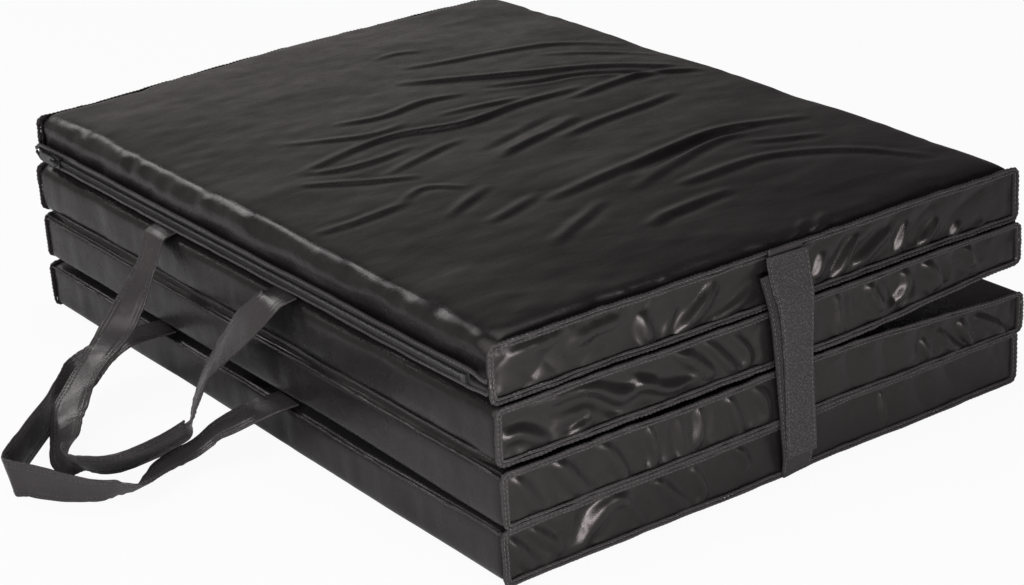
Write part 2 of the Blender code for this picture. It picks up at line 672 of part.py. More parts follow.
def main():
    clear_scene()
    finishes = {
        "nylon": material("black_nylon", (0.014, 0.013, 0.014), 0.38),
        "foam": material("grey_foam", (0.32, 0.32, 0.33), 0.90),
        "webbing": material("black_webbing", (0.018, 0.017, 0.018), 0.70),
        "plastic": material("black_nylon_coil", (0.012, 0.012, 0.013), 0.45),
        "metal": material("black_painted_zinc", (0.020, 0.020, 0.021), 0.35, 0.3),
    }
    bottom = pivot("bottom_panel_origin", 0, 0, 0)
    lower = pivot("lower_fold", FOLD_X, 0, LOWER_FOLD_Z, bottom)
    upper = pivot("middle_fold", -MIDDLE_FOLD_X, 0, MIDDLE_FOLD_Z, lower)
    top = pivot("upper_fold", FOLD_X, 0, UPPER_FOLD_Z, upper)
    parents = {"bottom": bottom, "lower": lower, "upper": upper, "top": top}
    for panel, parent in parents.items():
        make_panel(panel, finishes, parent)
    make_fold_web("lower_fold_web", "bottom", "lower", 1, LOWER_FOLD_Z, finishes["nylon"], bottom)
    make_fold_web("middle_fold_web", "lower", "upper", -1, MIDDLE_FOLD_Z, finishes["nylon"], lower)
    make_fold_web("upper_fold_web", "upper", "top", 1, UPPER_FOLD_Z, finishes["nylon"], upper)

    root_x = -FOLD_X - HANDLE_ROOT_OUT
    upper_swing = pivot("upper_handle_seam", root_x, HANDLE_CENTRE, UPPER_FOLD_Z, top)
    lower_swing = pivot("lower_handle_seam", root_x, HANDLE_CENTRE, LOWER_FOLD_Z, bottom)
    make_handle(
        "upper_handle",
        UPPER_HANDLE_ROUTE,
        UPPER_HANDLE_REACH,
        UPPER_HANDLE_SPREAD,
        UPPER_FOLD_Z,
        finishes["webbing"],
        upper_swing,
    )
    make_handle(
        "lower_handle",
        LOWER_HANDLE_ROUTE,
        LOWER_HANDLE_REACH,
        LOWER_HANDLE_SPREAD,
        LOWER_FOLD_Z,
        finishes["webbing"],
        lower_swing,
    )

    seam_y, seam_z = hook_strap_seam()
    strap_seam = pivot("hook_strap_seam", HOOK_STRAP_TOP_X, seam_y, seam_z, top)
    make_hook_strap(finishes["webbing"], strap_seam)
    make_strap_tab(finishes["webbing"], top)
    make_loop_strap(finishes["webbing"], bottom)

    make_zip(finishes, top)
    slider_track = pivot("slider_track", -zip_layers()[3], slider_middle(), zip_span()[2], top)
    pull_pin = pivot("pull_pin", pull_axis_x(), slider_middle(), zip_span()[2], slider_track)
    make_slider(finishes["metal"], slider_track)
    make_pull(finishes["metal"], pull_pin)


main()
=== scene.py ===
"""Folding exercise mat, dressed over its solids: black nylon sewn round foam, webbing handles,
closing straps and a zip. Laid out as an add-on and run as a script."""

import itertools
import json
import math

import bmesh
import bpy
import numpy as np
from mathutils import Matrix, Vector

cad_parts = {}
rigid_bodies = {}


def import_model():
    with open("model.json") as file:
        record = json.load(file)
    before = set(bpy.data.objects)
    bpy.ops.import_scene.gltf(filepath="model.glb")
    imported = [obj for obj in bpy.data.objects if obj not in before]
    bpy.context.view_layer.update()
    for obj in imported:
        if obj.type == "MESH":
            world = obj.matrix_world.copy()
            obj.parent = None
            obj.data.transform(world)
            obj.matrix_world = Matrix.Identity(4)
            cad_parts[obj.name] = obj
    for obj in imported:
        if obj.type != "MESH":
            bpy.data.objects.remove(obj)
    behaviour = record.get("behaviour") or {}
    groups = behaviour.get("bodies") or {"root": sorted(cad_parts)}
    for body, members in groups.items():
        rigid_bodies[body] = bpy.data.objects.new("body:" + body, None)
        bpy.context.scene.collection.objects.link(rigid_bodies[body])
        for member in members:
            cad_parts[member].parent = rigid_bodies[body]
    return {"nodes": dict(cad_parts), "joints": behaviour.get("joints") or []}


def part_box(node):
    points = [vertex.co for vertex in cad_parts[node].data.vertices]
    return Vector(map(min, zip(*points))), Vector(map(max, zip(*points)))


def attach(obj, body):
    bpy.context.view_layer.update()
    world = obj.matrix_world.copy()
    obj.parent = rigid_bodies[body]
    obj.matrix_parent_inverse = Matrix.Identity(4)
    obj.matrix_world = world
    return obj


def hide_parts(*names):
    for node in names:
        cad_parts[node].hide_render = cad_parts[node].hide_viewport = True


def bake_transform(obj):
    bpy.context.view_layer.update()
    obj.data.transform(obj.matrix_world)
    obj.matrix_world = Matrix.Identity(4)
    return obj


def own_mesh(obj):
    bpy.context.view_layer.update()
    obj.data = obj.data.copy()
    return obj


bl_info = {
    "name": "Folding exercise mat",
    "version": (1, 0, 0),
    "blender": (4, 5, 0),
    "location": "3D View > Sidebar > Folding mat",
    "description": "Dresses the solids of a folded four-panel mat in sewn nylon",
    "category": "Object",
}

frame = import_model()

PANELS = ("bottom", "lower", "upper", "top")
ENDS = {"front": -1, "rear": 1}
COVERS = {panel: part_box(f"{panel}_panel_cover") for panel in PANELS}
BASES = {panel: low.z for panel, (low, high) in COVERS.items()}
SLIPS = {panel: (low.y + high.y) / 2 for panel, (low, high) in COVERS.items()}
THICKNESS = COVERS["bottom"][1].z - BASES["bottom"]
HALF_LENGTH = COVERS["bottom"][1].x
HALF_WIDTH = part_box("bottom_panel_rear_gusset")[1].y
FOLDS = {joint["name"]: Vector(joint["pos_m"]) for joint in frame["joints"] if "pos_m" in joint}

# How far each panel's faces give upward in the stack, in metres: its underside and its top on the
# handle side, and then both on the far side, where the middle two panels part.
GIVES = {
    "bottom": (0.0, -0.0026, 0.0, 0.0),
    "lower": (0.0032, 0.0, 0.0, -0.0088),
    "upper": (0.0, -0.0016, 0.0085, 0.0),
    "top": (0.0008, 0.0, 0.0, 0.0),
}
REAR_PULL = 0.0150  # how far the top panel's rear left corner is drawn in along the fold

PAD_GAP = 0.0003  # from a pad to the planes above and below its panel
PAD_SIDE_GAP = 0.0006
PAD_END = HALF_WIDTH - 0.0016  # from the middle of a panel to its pad's flat ends
PAD_END_DISH = 0.0054  # how deep those ends are hollowed, to make room for the cloth's folds
PAD_BEVELS = {"top": 0.0070, "upper": 0.0060, "lower": 0.0030, "bottom": 0.0030}
SWELL_MOST = (0.0012, 0.0008, 0.0035)  # the most that the simulation may move a point, by axis

SEAM_STEP = 0.0012  # between the points of the seam round a panel's end
SEAM_INSETS = (0.0009, 0.0034)  # of its two turned edges, from the panel's corner
SEAM_BACK = 0.0022  # from the panel's end in to the seam's middle
SEAM_FLOOR_GAP = 0.0002
OUTLINE_RADIUS = 0.0060

END_CLOTH_INSET = 0.0030
END_CLOTH_BACK = 0.0030
END_FOLD_MOST = 0.0034  # the highest that a fold in it stands
END_LEANS = {"top": 0.9, "upper": -0.5, "lower": -0.3, "bottom": -0.6}
STRAP_MIDDLE_X, STRAP_PRESS_REACH = 0.006, 0.024

HANDLE_SEAM_X, HANDLE_SEAM_Y = -0.2258, 0.0235  # halfway between a handle's two sewn ends
HANDLE_HIDDEN_X = -0.2190  # where the ends stop between the panels
HANDLE_WIDTH, HANDLE_THICKNESS = 0.028, 0.0019
HANDLE_STITCH_ROWS = (0.0022, 0.0050)  # from each edge
STRAP_THICKNESS = 0.0015
STRAP_STITCH_ROW = 0.0020

# Creases in the top cover, in millimetres on the panel: their half width, their height, and the
# points that they run through.
TOP_CREASES = (
    (5, 2, ((206, 14), (151, 60), (89, 87), (34, 118), (4, 137))),
    (4, -1.8, ((197, 3), (127, 50), (83, 59), (42, 76))),
    (4.5, 1.8, ((204, 5), (183, 19), (150, 25), (101, 16), (75, 11))),
    (4.2, 1.9, ((106, 27), (44, 28), (-14, 21), (-76, 34), (-159, 18))),
    (3.5, 1.1, ((56, 36), (22, 43), (-18, 48))),
    (3.8, 1.3, ((29, 75), (-8, 82), (-49, 76), (-86, 87))),
    (3.6, 1, ((-42, 51), (-73, 47), (-102, 59), (-135, 82))),
    (4.2, 1.3, ((204, 102), (166, 134), (115, 149), (57, 160), (29, 168))),
    (3.5, 0.9, ((205, 62), (176, 91), (129, 121))),
    (4.2, 1.4, ((147, -27), (110, -35), (55, -44), (17, -55))),
    (4, 1.3, ((58, -23), (25, -36), (-19, -49), (-39, -59))),
    (4, -1, ((51, -13), (18, -23), (-15, -34), (-43, -44))),
    (3.8, 1.1, ((-31, -7), (-56, -11), (-82, -20), (-118, -30))),
    (3.8, 1.3, ((-66, 7), (-103, 0), (-132, 4), (-154, 16))),
    (3.6, 1.3, ((-99, -50), (-123, -35), (-146, -18), (-168, -1))),
    (3.8, 1.1, ((-131, -83), (-159, -85), (-182, -85), (-206, -81))),
    (3.2, 1, ((-89, -90), (-111, -70), (-138, -81))),
    (4, 1, ((-76, -97), (-106, -112), (-130, -125))),
    (4.2, 1, ((-57, -130), (-95, -145), (-117, -152))),
    (3.5, 0.7, ((71, 196), (50, 205), (26, 203))),
    (4.2, 1, ((-36, -172), (-71, -190), (-109, -210))),
    (4.8, 2.1, ((183, -134), (122, -119), (75, -122), (12, -134), (-65, -145))),
    (4.2, -1.5, ((144, -132), (99, -126), (55, -135), (5, -150))),
    (4.2, 1.1, ((120, -137), (94, -135), (55, -147), (-12, -170))),
    (4, 1, ((163, -171), (135, -161), (109, -150))),
    (4.6, 1.4, ((191, -256), (159, -213), (107, -182), (42, -183), (18, -183))),
    (4.6, 1.5, ((41, -212), (8, -214), (-23, -219), (-41, -227))),
    (3.6, 1.5, ((62, -281), (36, -298), (13, -298))),
    (3, 1.3, ((44, -281), (23, -296), (4, -298))),
    (3, 1.4, ((-79, -292), (-88, -298))),
    (3, 1.1, ((-118, -291), (-111, -298))),
)

# Folds in the cloth of the panels' front ends, in millimetres: their half width, their height, and
# the points that they run through, as X and height above the floor.
FRONT_FOLDS = {
    "top": (
        (8.3, 2.2, ((-224, 149), (-196, 153), (-151, 156))),
        (4.8, 1.6, ((-166, 143), (-138, 147), (-122, 148))),
        (4.7, 2.4, ((-97, 117), (-103, 134), (-107, 148))),
        (5.1, 2.6, ((-79, 123), (-60, 136), (-44, 150))),
        (4.4, 2, ((-55, 119), (-32, 129), (-4, 144))),
        (3.3, -1.4, ((-89, 118), (-80, 130), (-73, 145))),
        (3.8, 2, ((37, 129), (41, 136), (45, 146))),
        (3.8, 2.6, ((51, 120), (61, 133), (75, 150))),
        (4.3, 2.8, ((71, 127), (88, 136), (104, 146))),
        (3.4, 2.2, ((111, 125), (115, 135), (121, 147))),
        (4, 2.8, ((129, 122), (139, 131), (149, 141))),
        (3.6, 2.2, ((160, 114), (164, 124), (168, 134))),
        (3.6, 2, ((177, 112), (184, 121), (193, 128))),
    ),
    "upper": (
        (4.7, 2.4, ((-224, 98), (-205, 99), (-185, 86))),
        (3.8, 2.2, ((-174, 82), (-162, 86), (-150, 90))),
        (4.8, 2.6, ((-200, 116), (-159, 115), (-132, 101), (-96, 102))),
        (4.4, -2, ((-183, 104), (-148, 103), (-122, 78))),
        (3.8, 2, ((-127, 115), (-95, 95), (-62, 91))),
        (4.7, 2.6, ((-94, 125), (-72, 108), (-52, 89))),
        (3.6, 2.2, ((-60, 117), (-45, 100), (-33, 85))),
        (3.3, 1.8, ((-38, 114), (-25, 99), (-21, 87))),
        (2.6, 1.4, ((53, 117), (56, 92), (59, 70))),
        (3.4, 2.4, ((80, 117), (86, 104), (93, 92))),
        (3.4, 2.6, ((112, 118), (115, 102), (99, 87))),
        (4, 2.8, ((130, 117), (142, 102), (145, 89))),
        (3.6, 1.8, ((170, 120), (177, 104), (180, 94))),
    ),
    "lower": (
        (4.7, 2.4, ((-219, 85), (-207, 63), (-197, 43))),
        (5.6, 2.6, ((-192, 87), (-175, 64), (-152, 35))),
        (4.7, 2.4, ((-150, 80), (-134, 55), (-125, 33))),
        (3.4, 2.4, ((-109, 75), (-105, 55), (-106, 36))),
        (3.8, -1.8, ((-92, 75), (-88, 52), (-85, 36))),
        (3.6, 2.6, ((-73, 84), (-67, 65), (-70, 46))),
        (3.6, 2.6, ((-48, 83), (-38, 58), (-29, 20))),
        (3.6, 2.4, ((-22, 75), (-13, 58), (-12, 42))),
        (3, 1.6, ((55, 84), (56, 78), (56, 71))),
        (3, 2, ((127, 64), (133, 52), (139, 39))),
        (3.6, 2.4, ((142, 67), (155, 51), (174, 35))),
        (3.6, 2.6, ((164, 70), (171, 53), (180, 37))),
        (4, 2.6, ((178, 69), (198, 54), (215, 32))),
    ),
    "bottom": (
        (4.7, 2.4, ((-227, 39), (-212, 23), (-199, 4))),
        (4, 2, ((-205, 37), (-192, 24), (-177, 8))),
        (5.6, 2.6, ((-166, 3), (-146, 26), (-116, 33))),
        (3.8, 2, ((-140, 38), (-124, 22), (-112, 3))),
        (4.3, 2.4, ((-109, 40), (-89, 18), (-74, -1))),
        (3.3, 1.6, ((-73, 33), (-66, 20), (-62, 7))),
        (3.3, 2, ((-40, 38), (-31, 28), (-25, 16))),
        (2.2, 1.8, ((92, 37), (95, 20), (96, 3))),
    ),
}

# The handles' routes: in millimetres the distance out from the mat, the distance along Y from
# their middle, and the height, and then which way the webbing's width points.
UPPER_HANDLE_ROUTE = (
    (0, 81.7, 121, (0.0, 1.0, 0.0)),
    (2.6, 81.5, 118.5, (0.0, 1.0, 0.0)),
    (12.7, 78.7, 100, (-0.04, 0.99, -0.05)),
    (24.7, 78.5, 81, (0.28, 0.95, -0.09)),
    (44.7, 76, 58, (0.58, 0.81, -0.06)),
    (66.2, 70, 43.5, (0.41, 0.89, -0.19)),
    (81.2, 64.3, 33, (0.4, 0.88, -0.26)),
    (98.9, 49.9, 23, (0.44, 0.89, -0.06)),
    (113.5, 28.9, 16.5, (0.14, 0.95, -0.28)),
    (129.7, -3.8, 14.5, (-0.07, 0.9, -0.4)),
    (119.4, -24.7, 13.4, (-0.23, 0.63, -0.74)),
    (103, -32.4, 13, (-0.21, 0.57, -0.79)),
    (75.9, -29.2, 13.2, (-0.2, 0.55, -0.81)),
    (52.8, -22.8, 14, (-0.19, 0.51, -0.84)),
    (43.7, -22.5, 18.5, (-0.12, 0.6, -0.79)),
    (34.5, -18.4, 34, (-0.32, 0.88, -0.31)),
    (25.8, -24.2, 56, (-0.28, 0.91, -0.3)),
    (20.3, -42.6, 78, (-0.2, 0.97, -0.15)),
    (16.1, -66.2, 100, (-0.06, 0.99, -0.06)),
    (8.5, -80.5, 115.5, (-0.02, 1.0, -0.02)),
    (2.6, -82.8, 119.8, (0.0, 1.0, 0.0)),
    (0, -83, 121, (0.0, 1.0, 0.0)),
)
LOWER_HANDLE_ROUTE = (
    (0, 95.5, 39.6, (0.0, 1.0, 0.0)),
    (2.7, 95.5, 39.6, (0.0, 1.0, 0.0)),
    (8.7, 97, 39.6, (0.0, 1.0, 0.0)),
    (30.6, 96.6, 39.6, (0.02, 1.0, 0.06)),
    (50.7, 100.4, 30, (0.0, 0.92, 0.38)),
    (74.2, 98, 17, (0.2, 0.25, 0.95)),
    (108.4, 65.6, 15.2, (0.08, 0.01, 1.0)),
    (143.5, 31.1, 15, (0.11, -0.01, 0.99)),
    (171.3, -0.8, 15, (0.15, 0.18, 0.97)),
    (165.2, -17.7, 14.8, (0.05, -0.21, 0.98)),
    (153.2, -38.6, 14.2, (0.1, -0.34, 0.93)),
    (140.6, -55.2, 13.4, (0.23, -0.45, 0.86)),
    (126.7, -64.1, 12.4, (0.27, -0.6, 0.75)),
    (106.5, -66, 8.8, (0.38, -0.8, 0.45)),
    (75.3, -47.8, 8.5, (0.3, -0.94, 0.13)),
    (50.5, -43.4, 11.5, (0.21, -0.97, 0.1)),
    (35.4, -47.7, 21, (0.13, -0.97, 0.15)),
    (24.2, -61.5, 31, (0.1, -0.98, 0.1)),
    (12, -70.2, 38, (0.03, -0.99, 0.03)),
    (2.7, -72.7, 39.4, (0.0, -1.0, 0.0)),
    (0, -73, 39.6, (0.0, -1.0, 0.0)),
)

# The closing straps' routes and the hook strap's widths, in metres.
HOOK_STRAP_ROUTE = (
    (0.0080, -0.3040, 0.1583),
    (0.0080, -0.3041, 0.1560),
    (0.0082, -0.3044, 0.1530),
    (0.0086, -0.3080, 0.1376),
    (0.0094, -0.3113, 0.1212),
    (0.0112, -0.3113, 0.0690),
    (0.0130, -0.3113, 0.0165),
)
HOOK_STRAP_WIDTHS = (0.0345, 0.0335, 0.0290, 0.0265, 0.0250, 0.0250, 0.0250)
LOOP_STRAP_ROUTE = (
    (0.0130, -0.3063, 0.0022),
    (0.0126, -0.3063, 0.0060),
    (0.0111, -0.3093, 0.0200),
    (0.0070, -0.3093, 0.0606),
    (0.0010, -0.3093, 0.1171),
    (-0.0020, -0.3033, 0.1470),
)
LOOP_STRAP_WIDTHS = (0.025, 0.025)

# Each soft box: its place, its size, its power and what it is aimed at.
LAMPS = {
    "left_softbox": ((-1.90, 0.0, 1.18), (1.50, 1.50), 23.0, (0.0, 0.0, 0.08)),
    "front_softbox": ((-0.40, -0.95, 0.088), (0.85, 0.14), 10.5, (-0.16, -0.30, 0.085)),
    "rear_softbox": ((-0.50, 1.54, 1.18), (0.70, 0.50), 6.5, (-0.10, 0.0, 0.08)),
    "overhead_softbox": ((0.1, 0.1, 2.3), (1.6, 1.6), 22.0, (0.0, 0.0, 0.08)),
}

# The photograph's camera, fitted to the stack's corners.
CAMERA_AZIMUTH, CAMERA_ELEVATION, CAMERA_ROLL = -35.16, 22.54, -3.13
CAMERA_PLACE = (-0.9809, -1.4023, 0.7497)
CAMERA_LENS = 87.53


def linear(code):
    """An sRGB hex value as linear red, green, blue and alpha."""
    parts = [int(code[i : i + 2], 16) / 255 for i in (1, 3, 5)]
    return (*(c / 12.92 if c <= 0.04045 else ((c + 0.055) / 1.055) ** 2.4 for c in parts), 1.0)


def length_setting(name, description, default):
    return bpy.props.FloatProperty(
        name=name, description=description, default=default, unit="LENGTH"
    )


def colour_setting(name, description, code):
    return bpy.props.FloatVectorProperty(
        name=name, description=description, subtype="COLOR", size=4, default=linear(code)
    )


class MatSizes(bpy.types.PropertyGroup):
    seam_width: length_setting("Seam width", "Width of a turned edge in a panel's end seam", 0.0028)
    seam_rise: length_setting("Seam rise", "How thick a turned edge is", 0.0019)
    buckle: length_setting("Buckle", "Height of the folds in a panel's end cloth", 0.0040)
    front_fold: bpy.props.FloatProperty(
        name="Front folds", description="How strongly the front ends' folds show", default=1.6
    )
    stitch_length: length_setting("Stitch length", "Length of one stitch that shows", 0.0025)
    stitch_pitch: length_setting("Stitch pitch", "From one stitch to the next", 0.0034)
    thread: length_setting("Thread", "Thickness of the sewing thread", 0.0006)
    crown: length_setting("Crown", "How far the top cover puffs up in its middle", 0.0070)
    pad_grid: length_setting("Pad grid", "Spacing of a pad's mesh before it is made finer", 0.005)


class MatColours(bpy.types.PropertyGroup):
    nylon: colour_setting("Nylon", "Coated nylon of the covers", "#100F0F")
    nylon_worn: colour_setting("Rubbed nylon", "The same nylon where it is rubbed", "#181616")
    # Painted highlight: a lighter grey for the handles, seams and zip flaps, standing in for the
    # light that they catch.
    painted_lit_nylon: colour_setting("Painted lit nylon", "Greyer nylon of handles and seams", "#383536")
    # Painted highlight: the thread is black, and this lighter grey stands in for the shine of its
    # glossy polyester.
    thread: colour_setting("Thread", "Polyester sewing thread", "#343132")
    hook_tape: colour_setting("Hook tape", "Woven tape of the hook strap", "#252223")
    loop_tape: colour_setting("Loop tape", "Napped tape of the loop strap", "#1D1B1C")
    zinc: colour_setting("Painted zinc", "Zip slider, pull and stops", "#1E1E1F")
    floor: colour_setting("Floor", "Studio floor", "#D2D2D2")


# Meshes


def select_alone(piece):
    """Everything is deselected, and then this piece alone is selected and active."""
    for thing in bpy.context.view_layer.objects:
        thing.select_set(False)
    if piece:
        piece.select_set(True)
    bpy.context.view_layer.objects.active = piece


def read_points(mesh):
    points = np.empty(len(mesh.vertices) * 3)
    mesh.vertices.foreach_get("co", points)
    return points.reshape(-1, 3)


def write_points(piece, points):
    piece.data.vertices.foreach_set("co", np.asarray(points, np.float32).ravel())
    piece.data.update()


def write_uv(piece, uv):
    """Gives each point of a piece its place in the UV map, in metres."""
    loops = np.empty(len(piece.data.loops), np.int32)
    piece.data.loops.foreach_get("vertex_index", loops)
    piece.data.uv_layers.active.data.foreach_set("uv", uv[loops].astype(np.float32).ravel())


def columns(x, y, z):
    """Points from their three coordinates, each an array or one number for all."""
    return np.stack(np.broadcast_arrays(x, y, z), 1).astype(float)


def name_piece(name):
    piece = bpy.context.view_layer.objects.active
    piece.name = piece.data.name = name
    return piece


def add_box(name, low, high):
    select_alone(None)
    low, high = Vector(low), Vector(high)
    bpy.ops.mesh.primitive_cube_add(size=1, location=(low + high) / 2, scale=high - low)
    piece = name_piece(name)
    bpy.ops.object.transform_apply(location=True, rotation=True, scale=True)
    return piece


def add_cloth(name, length, width, x_steps, y_steps):
    """A flat grid of cloth, with each point's share along and across it."""
    select_alone(None)
    bpy.ops.mesh.primitive_grid_add(x_subdivisions=x_steps, y_subdivisions=y_steps, size=1)
    piece = name_piece(name)
    shares = read_points(piece.data)[:, :2] + 0.5
    write_uv(piece, shares * (length, width))
    return piece, shares[:, 0], shares[:, 1]


def add_beads(name, beads, faces):
    """One smooth mesh of many beads, from the points of each and the faces that all share."""
    mesh = bpy.data.meshes.new(name)
    starts = range(0, len(beads) * len(beads[0]), len(beads[0]))
    corners = [tuple(start + corner for corner in face) for start in starts for face in faces]
    mesh.from_pydata(np.vstack(beads).tolist(), [], corners)
    piece = bpy.data.objects.new(name, mesh)
    bpy.context.scene.collection.objects.link(piece)
    select_alone(piece)
    bpy.ops.object.shade_smooth()
    return piece


def apply_modifier(piece, kind, **settings):
    modifier = piece.modifiers.new(kind.title(), kind)
    for key, value in settings.items():
        setattr(modifier, key, value)
    select_alone(piece)
    bpy.ops.object.modifier_apply(modifier=modifier.name)


def edit_edges(piece, test, operator, **settings):
    """Runs an edit mode operator on the edges whose two ends pass a test."""
    select_alone(piece)
    bpy.ops.object.mode_set(mode="EDIT")
    bpy.ops.mesh.select_all(action="DESELECT")
    bpy.ops.mesh.select_mode(type="EDGE")
    mesh = bmesh.from_edit_mesh(piece.data)
    for edge in mesh.edges:
        edge.select_set(bool(test(edge.verts[0].co, edge.verts[1].co)))
    bmesh.update_edit_mesh(piece.data)
    operator(**settings)
    bpy.ops.object.mode_set(mode="OBJECT")


def face_outward(piece, close=False):
    """Turns all faces outward. To close a piece, doubled points are merged and holes filled."""
    select_alone(piece)
    bpy.ops.object.mode_set(mode="EDIT")
    bpy.ops.mesh.select_all(action="SELECT")
    if close:
        bpy.ops.mesh.remove_doubles(threshold=0.00001)
        bpy.ops.mesh.fill_holes(sides=0)
        bpy.ops.mesh.select_all(action="SELECT")
    bpy.ops.mesh.normals_make_consistent(inside=False)
    bpy.ops.object.mode_set(mode="OBJECT")


def soft_noise(points, size, seed):
    """Smooth noise from -1 to 1 at each point, in lumps of about the size given."""
    table = np.random.default_rng(seed).uniform(-1, 1, (32, 32, 32))
    scaled = np.asarray(points) / size + 1000
    cell = np.floor(scaled).astype(int)
    part = scaled - cell
    part = part * part * (3 - 2 * part)
    total = np.zeros(len(scaled))
    for corner in itertools.product((0, 1), repeat=3):
        weight = np.prod(np.where(corner, part, 1 - part), axis=1)
        x, y, z = ((cell + corner) % 32).T
        total += weight * table[x, y, z]
    return total


def ramp(values, start, end):
    """0 before start, 1 after end, and a smooth rise between them."""
    share = np.clip((values - start) / (end - start), 0, 1)
    return share * share * (3 - 2 * share)


def soft_cap(values, most):
    return most * np.tanh(values / most)


def hump(values, middle, reach):
    """1 at the middle, falling to nothing at about twice the reach."""
    return np.exp(-(((values - middle) / reach) ** 2))


def run_along(points):
    """How far along a line each of its points lies."""
    steps = np.linalg.norm(np.diff(points, axis=0), axis=1)
    return np.concatenate(([0], np.cumsum(steps)))


def smooth_route(points, steps):
    """Points on a Catmull-Rom curve through the given ones."""
    points = np.asarray(points, float)
    padded = np.vstack((2 * points[0] - points[1], points, 2 * points[-1] - points[-2]))
    route = []
    for before, here, there, after in zip(padded, padded[1:], padded[2:], padded[3:]):
        for t in np.arange(steps) / steps:
            bend = 2 * before - 5 * here + 4 * there - after
            twist = 3 * here - before - 3 * there + after
            route.append(here + 0.5 * t * ((there - before) + t * (bend + t * twist)))
    route.append(points[-1])
    return np.array(route)


def even_route(points, count):
    """The same line with its points spread evenly, and its length."""
    along = run_along(points)
    places = np.linspace(0, along[-1], count)
    return np.stack([np.interp(places, along, column) for column in points.T], 1), along[-1]


def settle(panel, points):
    """How a panel gives in the stack: its open edges part, and its seams run a little unevenly."""
    x, y, z = points.T
    share = np.clip((z - BASES[panel]) / THICKNESS, 0, 1)
    handle_side = ramp(-x, HALF_LENGTH - 0.060, HALF_LENGTH) * (1 - 0.90 * ramp(-y, 0.10, 0.30))
    far_side = ramp(x, HALF_LENGTH - 0.190, HALF_LENGTH) ** 1.3
    handle_under, handle_over, far_under, far_over = GIVES[panel]
    moved = points.copy()
    moved[:, 2] += handle_side * (handle_under * (1 - share) + handle_over * share)
    moved[:, 2] += far_side * (far_under * (1 - share) + far_over * share)
    if panel == "top":
        moved[:, 1] -= REAR_PULL * ramp(y, 0.06, HALF_WIDTH) * ramp(-x, -0.06, HALF_LENGTH)
    flat = columns(x, y, PANELS.index(panel) * 0.7)
    moved[:, 2] += 0.0007 * ramp(z, 0, 0.04) * soft_noise(points * (1, 1, 0), 0.075, 3)
    moved[:, 1] += 0.0012 * soft_noise(flat, 0.060, 5) * ramp(np.abs(y), 0.24, 0.30)
    moved[:, 0] += 0.0012 * soft_noise(flat, 0.090, 7) * ramp(np.abs(x), 0.17, 0.22)
    return moved


def swell(piece, frames, pressure):
    """Blows a closed pad up a little, in a cloth simulation."""
    cloth = piece.modifiers.new("Cloth", "CLOTH")
    settings = cloth.settings
    settings.quality = 5
    settings.mass = 0.3
    settings.bending_stiffness = 0.5
    settings.use_pressure = True
    settings.uniform_pressure_force = pressure
    settings.effector_weights.gravity = 0
    cloth.point_cache.frame_start, cloth.point_cache.frame_end = 1, frames
    for step in range(1, frames + 1):
        bpy.context.scene.frame_set(step)
    select_alone(piece)
    bpy.ops.object.modifier_apply(modifier=cloth.name)
    bpy.context.scene.frame_set(1)


# Materials


def add_node(tree, kind, settings=None, inputs=None):
    """A node with its settings, and its inputs given as values or as sockets to link."""
    node = tree.nodes.new(kind)
    for key, value in (settings or {}).items():
        setattr(node, key, value)
    for key, value in (inputs or {}).items():
        if isinstance(value, bpy.types.NodeSocket):
            tree.links.new(value, node.inputs[key])
        else:
            node.inputs[key].default_value = value
    return node


def add_maths(tree, operation, first, second):
    settings, inputs = {"operation": operation}, {0: first, 1: second}
    return add_node(tree, "ShaderNodeMath", settings, inputs).outputs[0]


def add_mix(tree, factor, first, second):
    settings = {"data_type": "RGBA"}
    inputs = {"Factor": factor, "A": first, "B": second}
    return add_node(tree, "ShaderNodeMix", settings, inputs).outputs["Result"]


def add_noise(tree, place, scale, **more):
    inputs = {"Vector": place, "Scale": scale}
    inputs.update({key.title(): value for key, value in more.items()})
    return add_node(tree, "ShaderNodeTexNoise", None, inputs).outputs["Fac"]


def add_range(tree, value, low, high, to_low=0.0, to_high=1.0, **settings):
    """The span from low to high, spread over another one."""
    inputs = {"Value": value, "From Min": low, "From Max": high, "To Min": to_low, "To Max": to_high}
    return add_node(tree, "ShaderNodeMapRange", settings, inputs).outputs["Result"]


def add_bump(tree, strength, distance, height, **more):
    inputs = {"Strength": strength, "Distance": distance, "Height": height, **more}
    return add_node(tree, "ShaderNodeBump", None, inputs).outputs["Normal"]


def new_material(name, **shader):
    """A material with its shader's constant values, and that shader."""
    made = bpy.data.materials.new(name)
    made.use_nodes = True
    node = made.node_tree.nodes["Principled BSDF"]
    for key, value in shader.items():
        node.inputs[key.replace("_", " ").title().replace("Ior", "IOR")].default_value = value
    return made, made.node_tree, node


def weave(tree, place, thread, axes=("X", "Y", "Z")):
    """Height of a plain weave: ridges across each other, one thread spacing apart."""
    inputs = {
        "Vector": place, "Scale": math.pi / 10 / thread, "Distortion": 0.4, "Detail Scale": 2.0
    }
    total = None
    for axis in axes:
        wave = add_node(tree, "ShaderNodeTexWave", {"bands_direction": axis}, inputs).outputs["Fac"]
        total = wave if total is None else add_maths(tree, "ADD", total, wave)
    return total


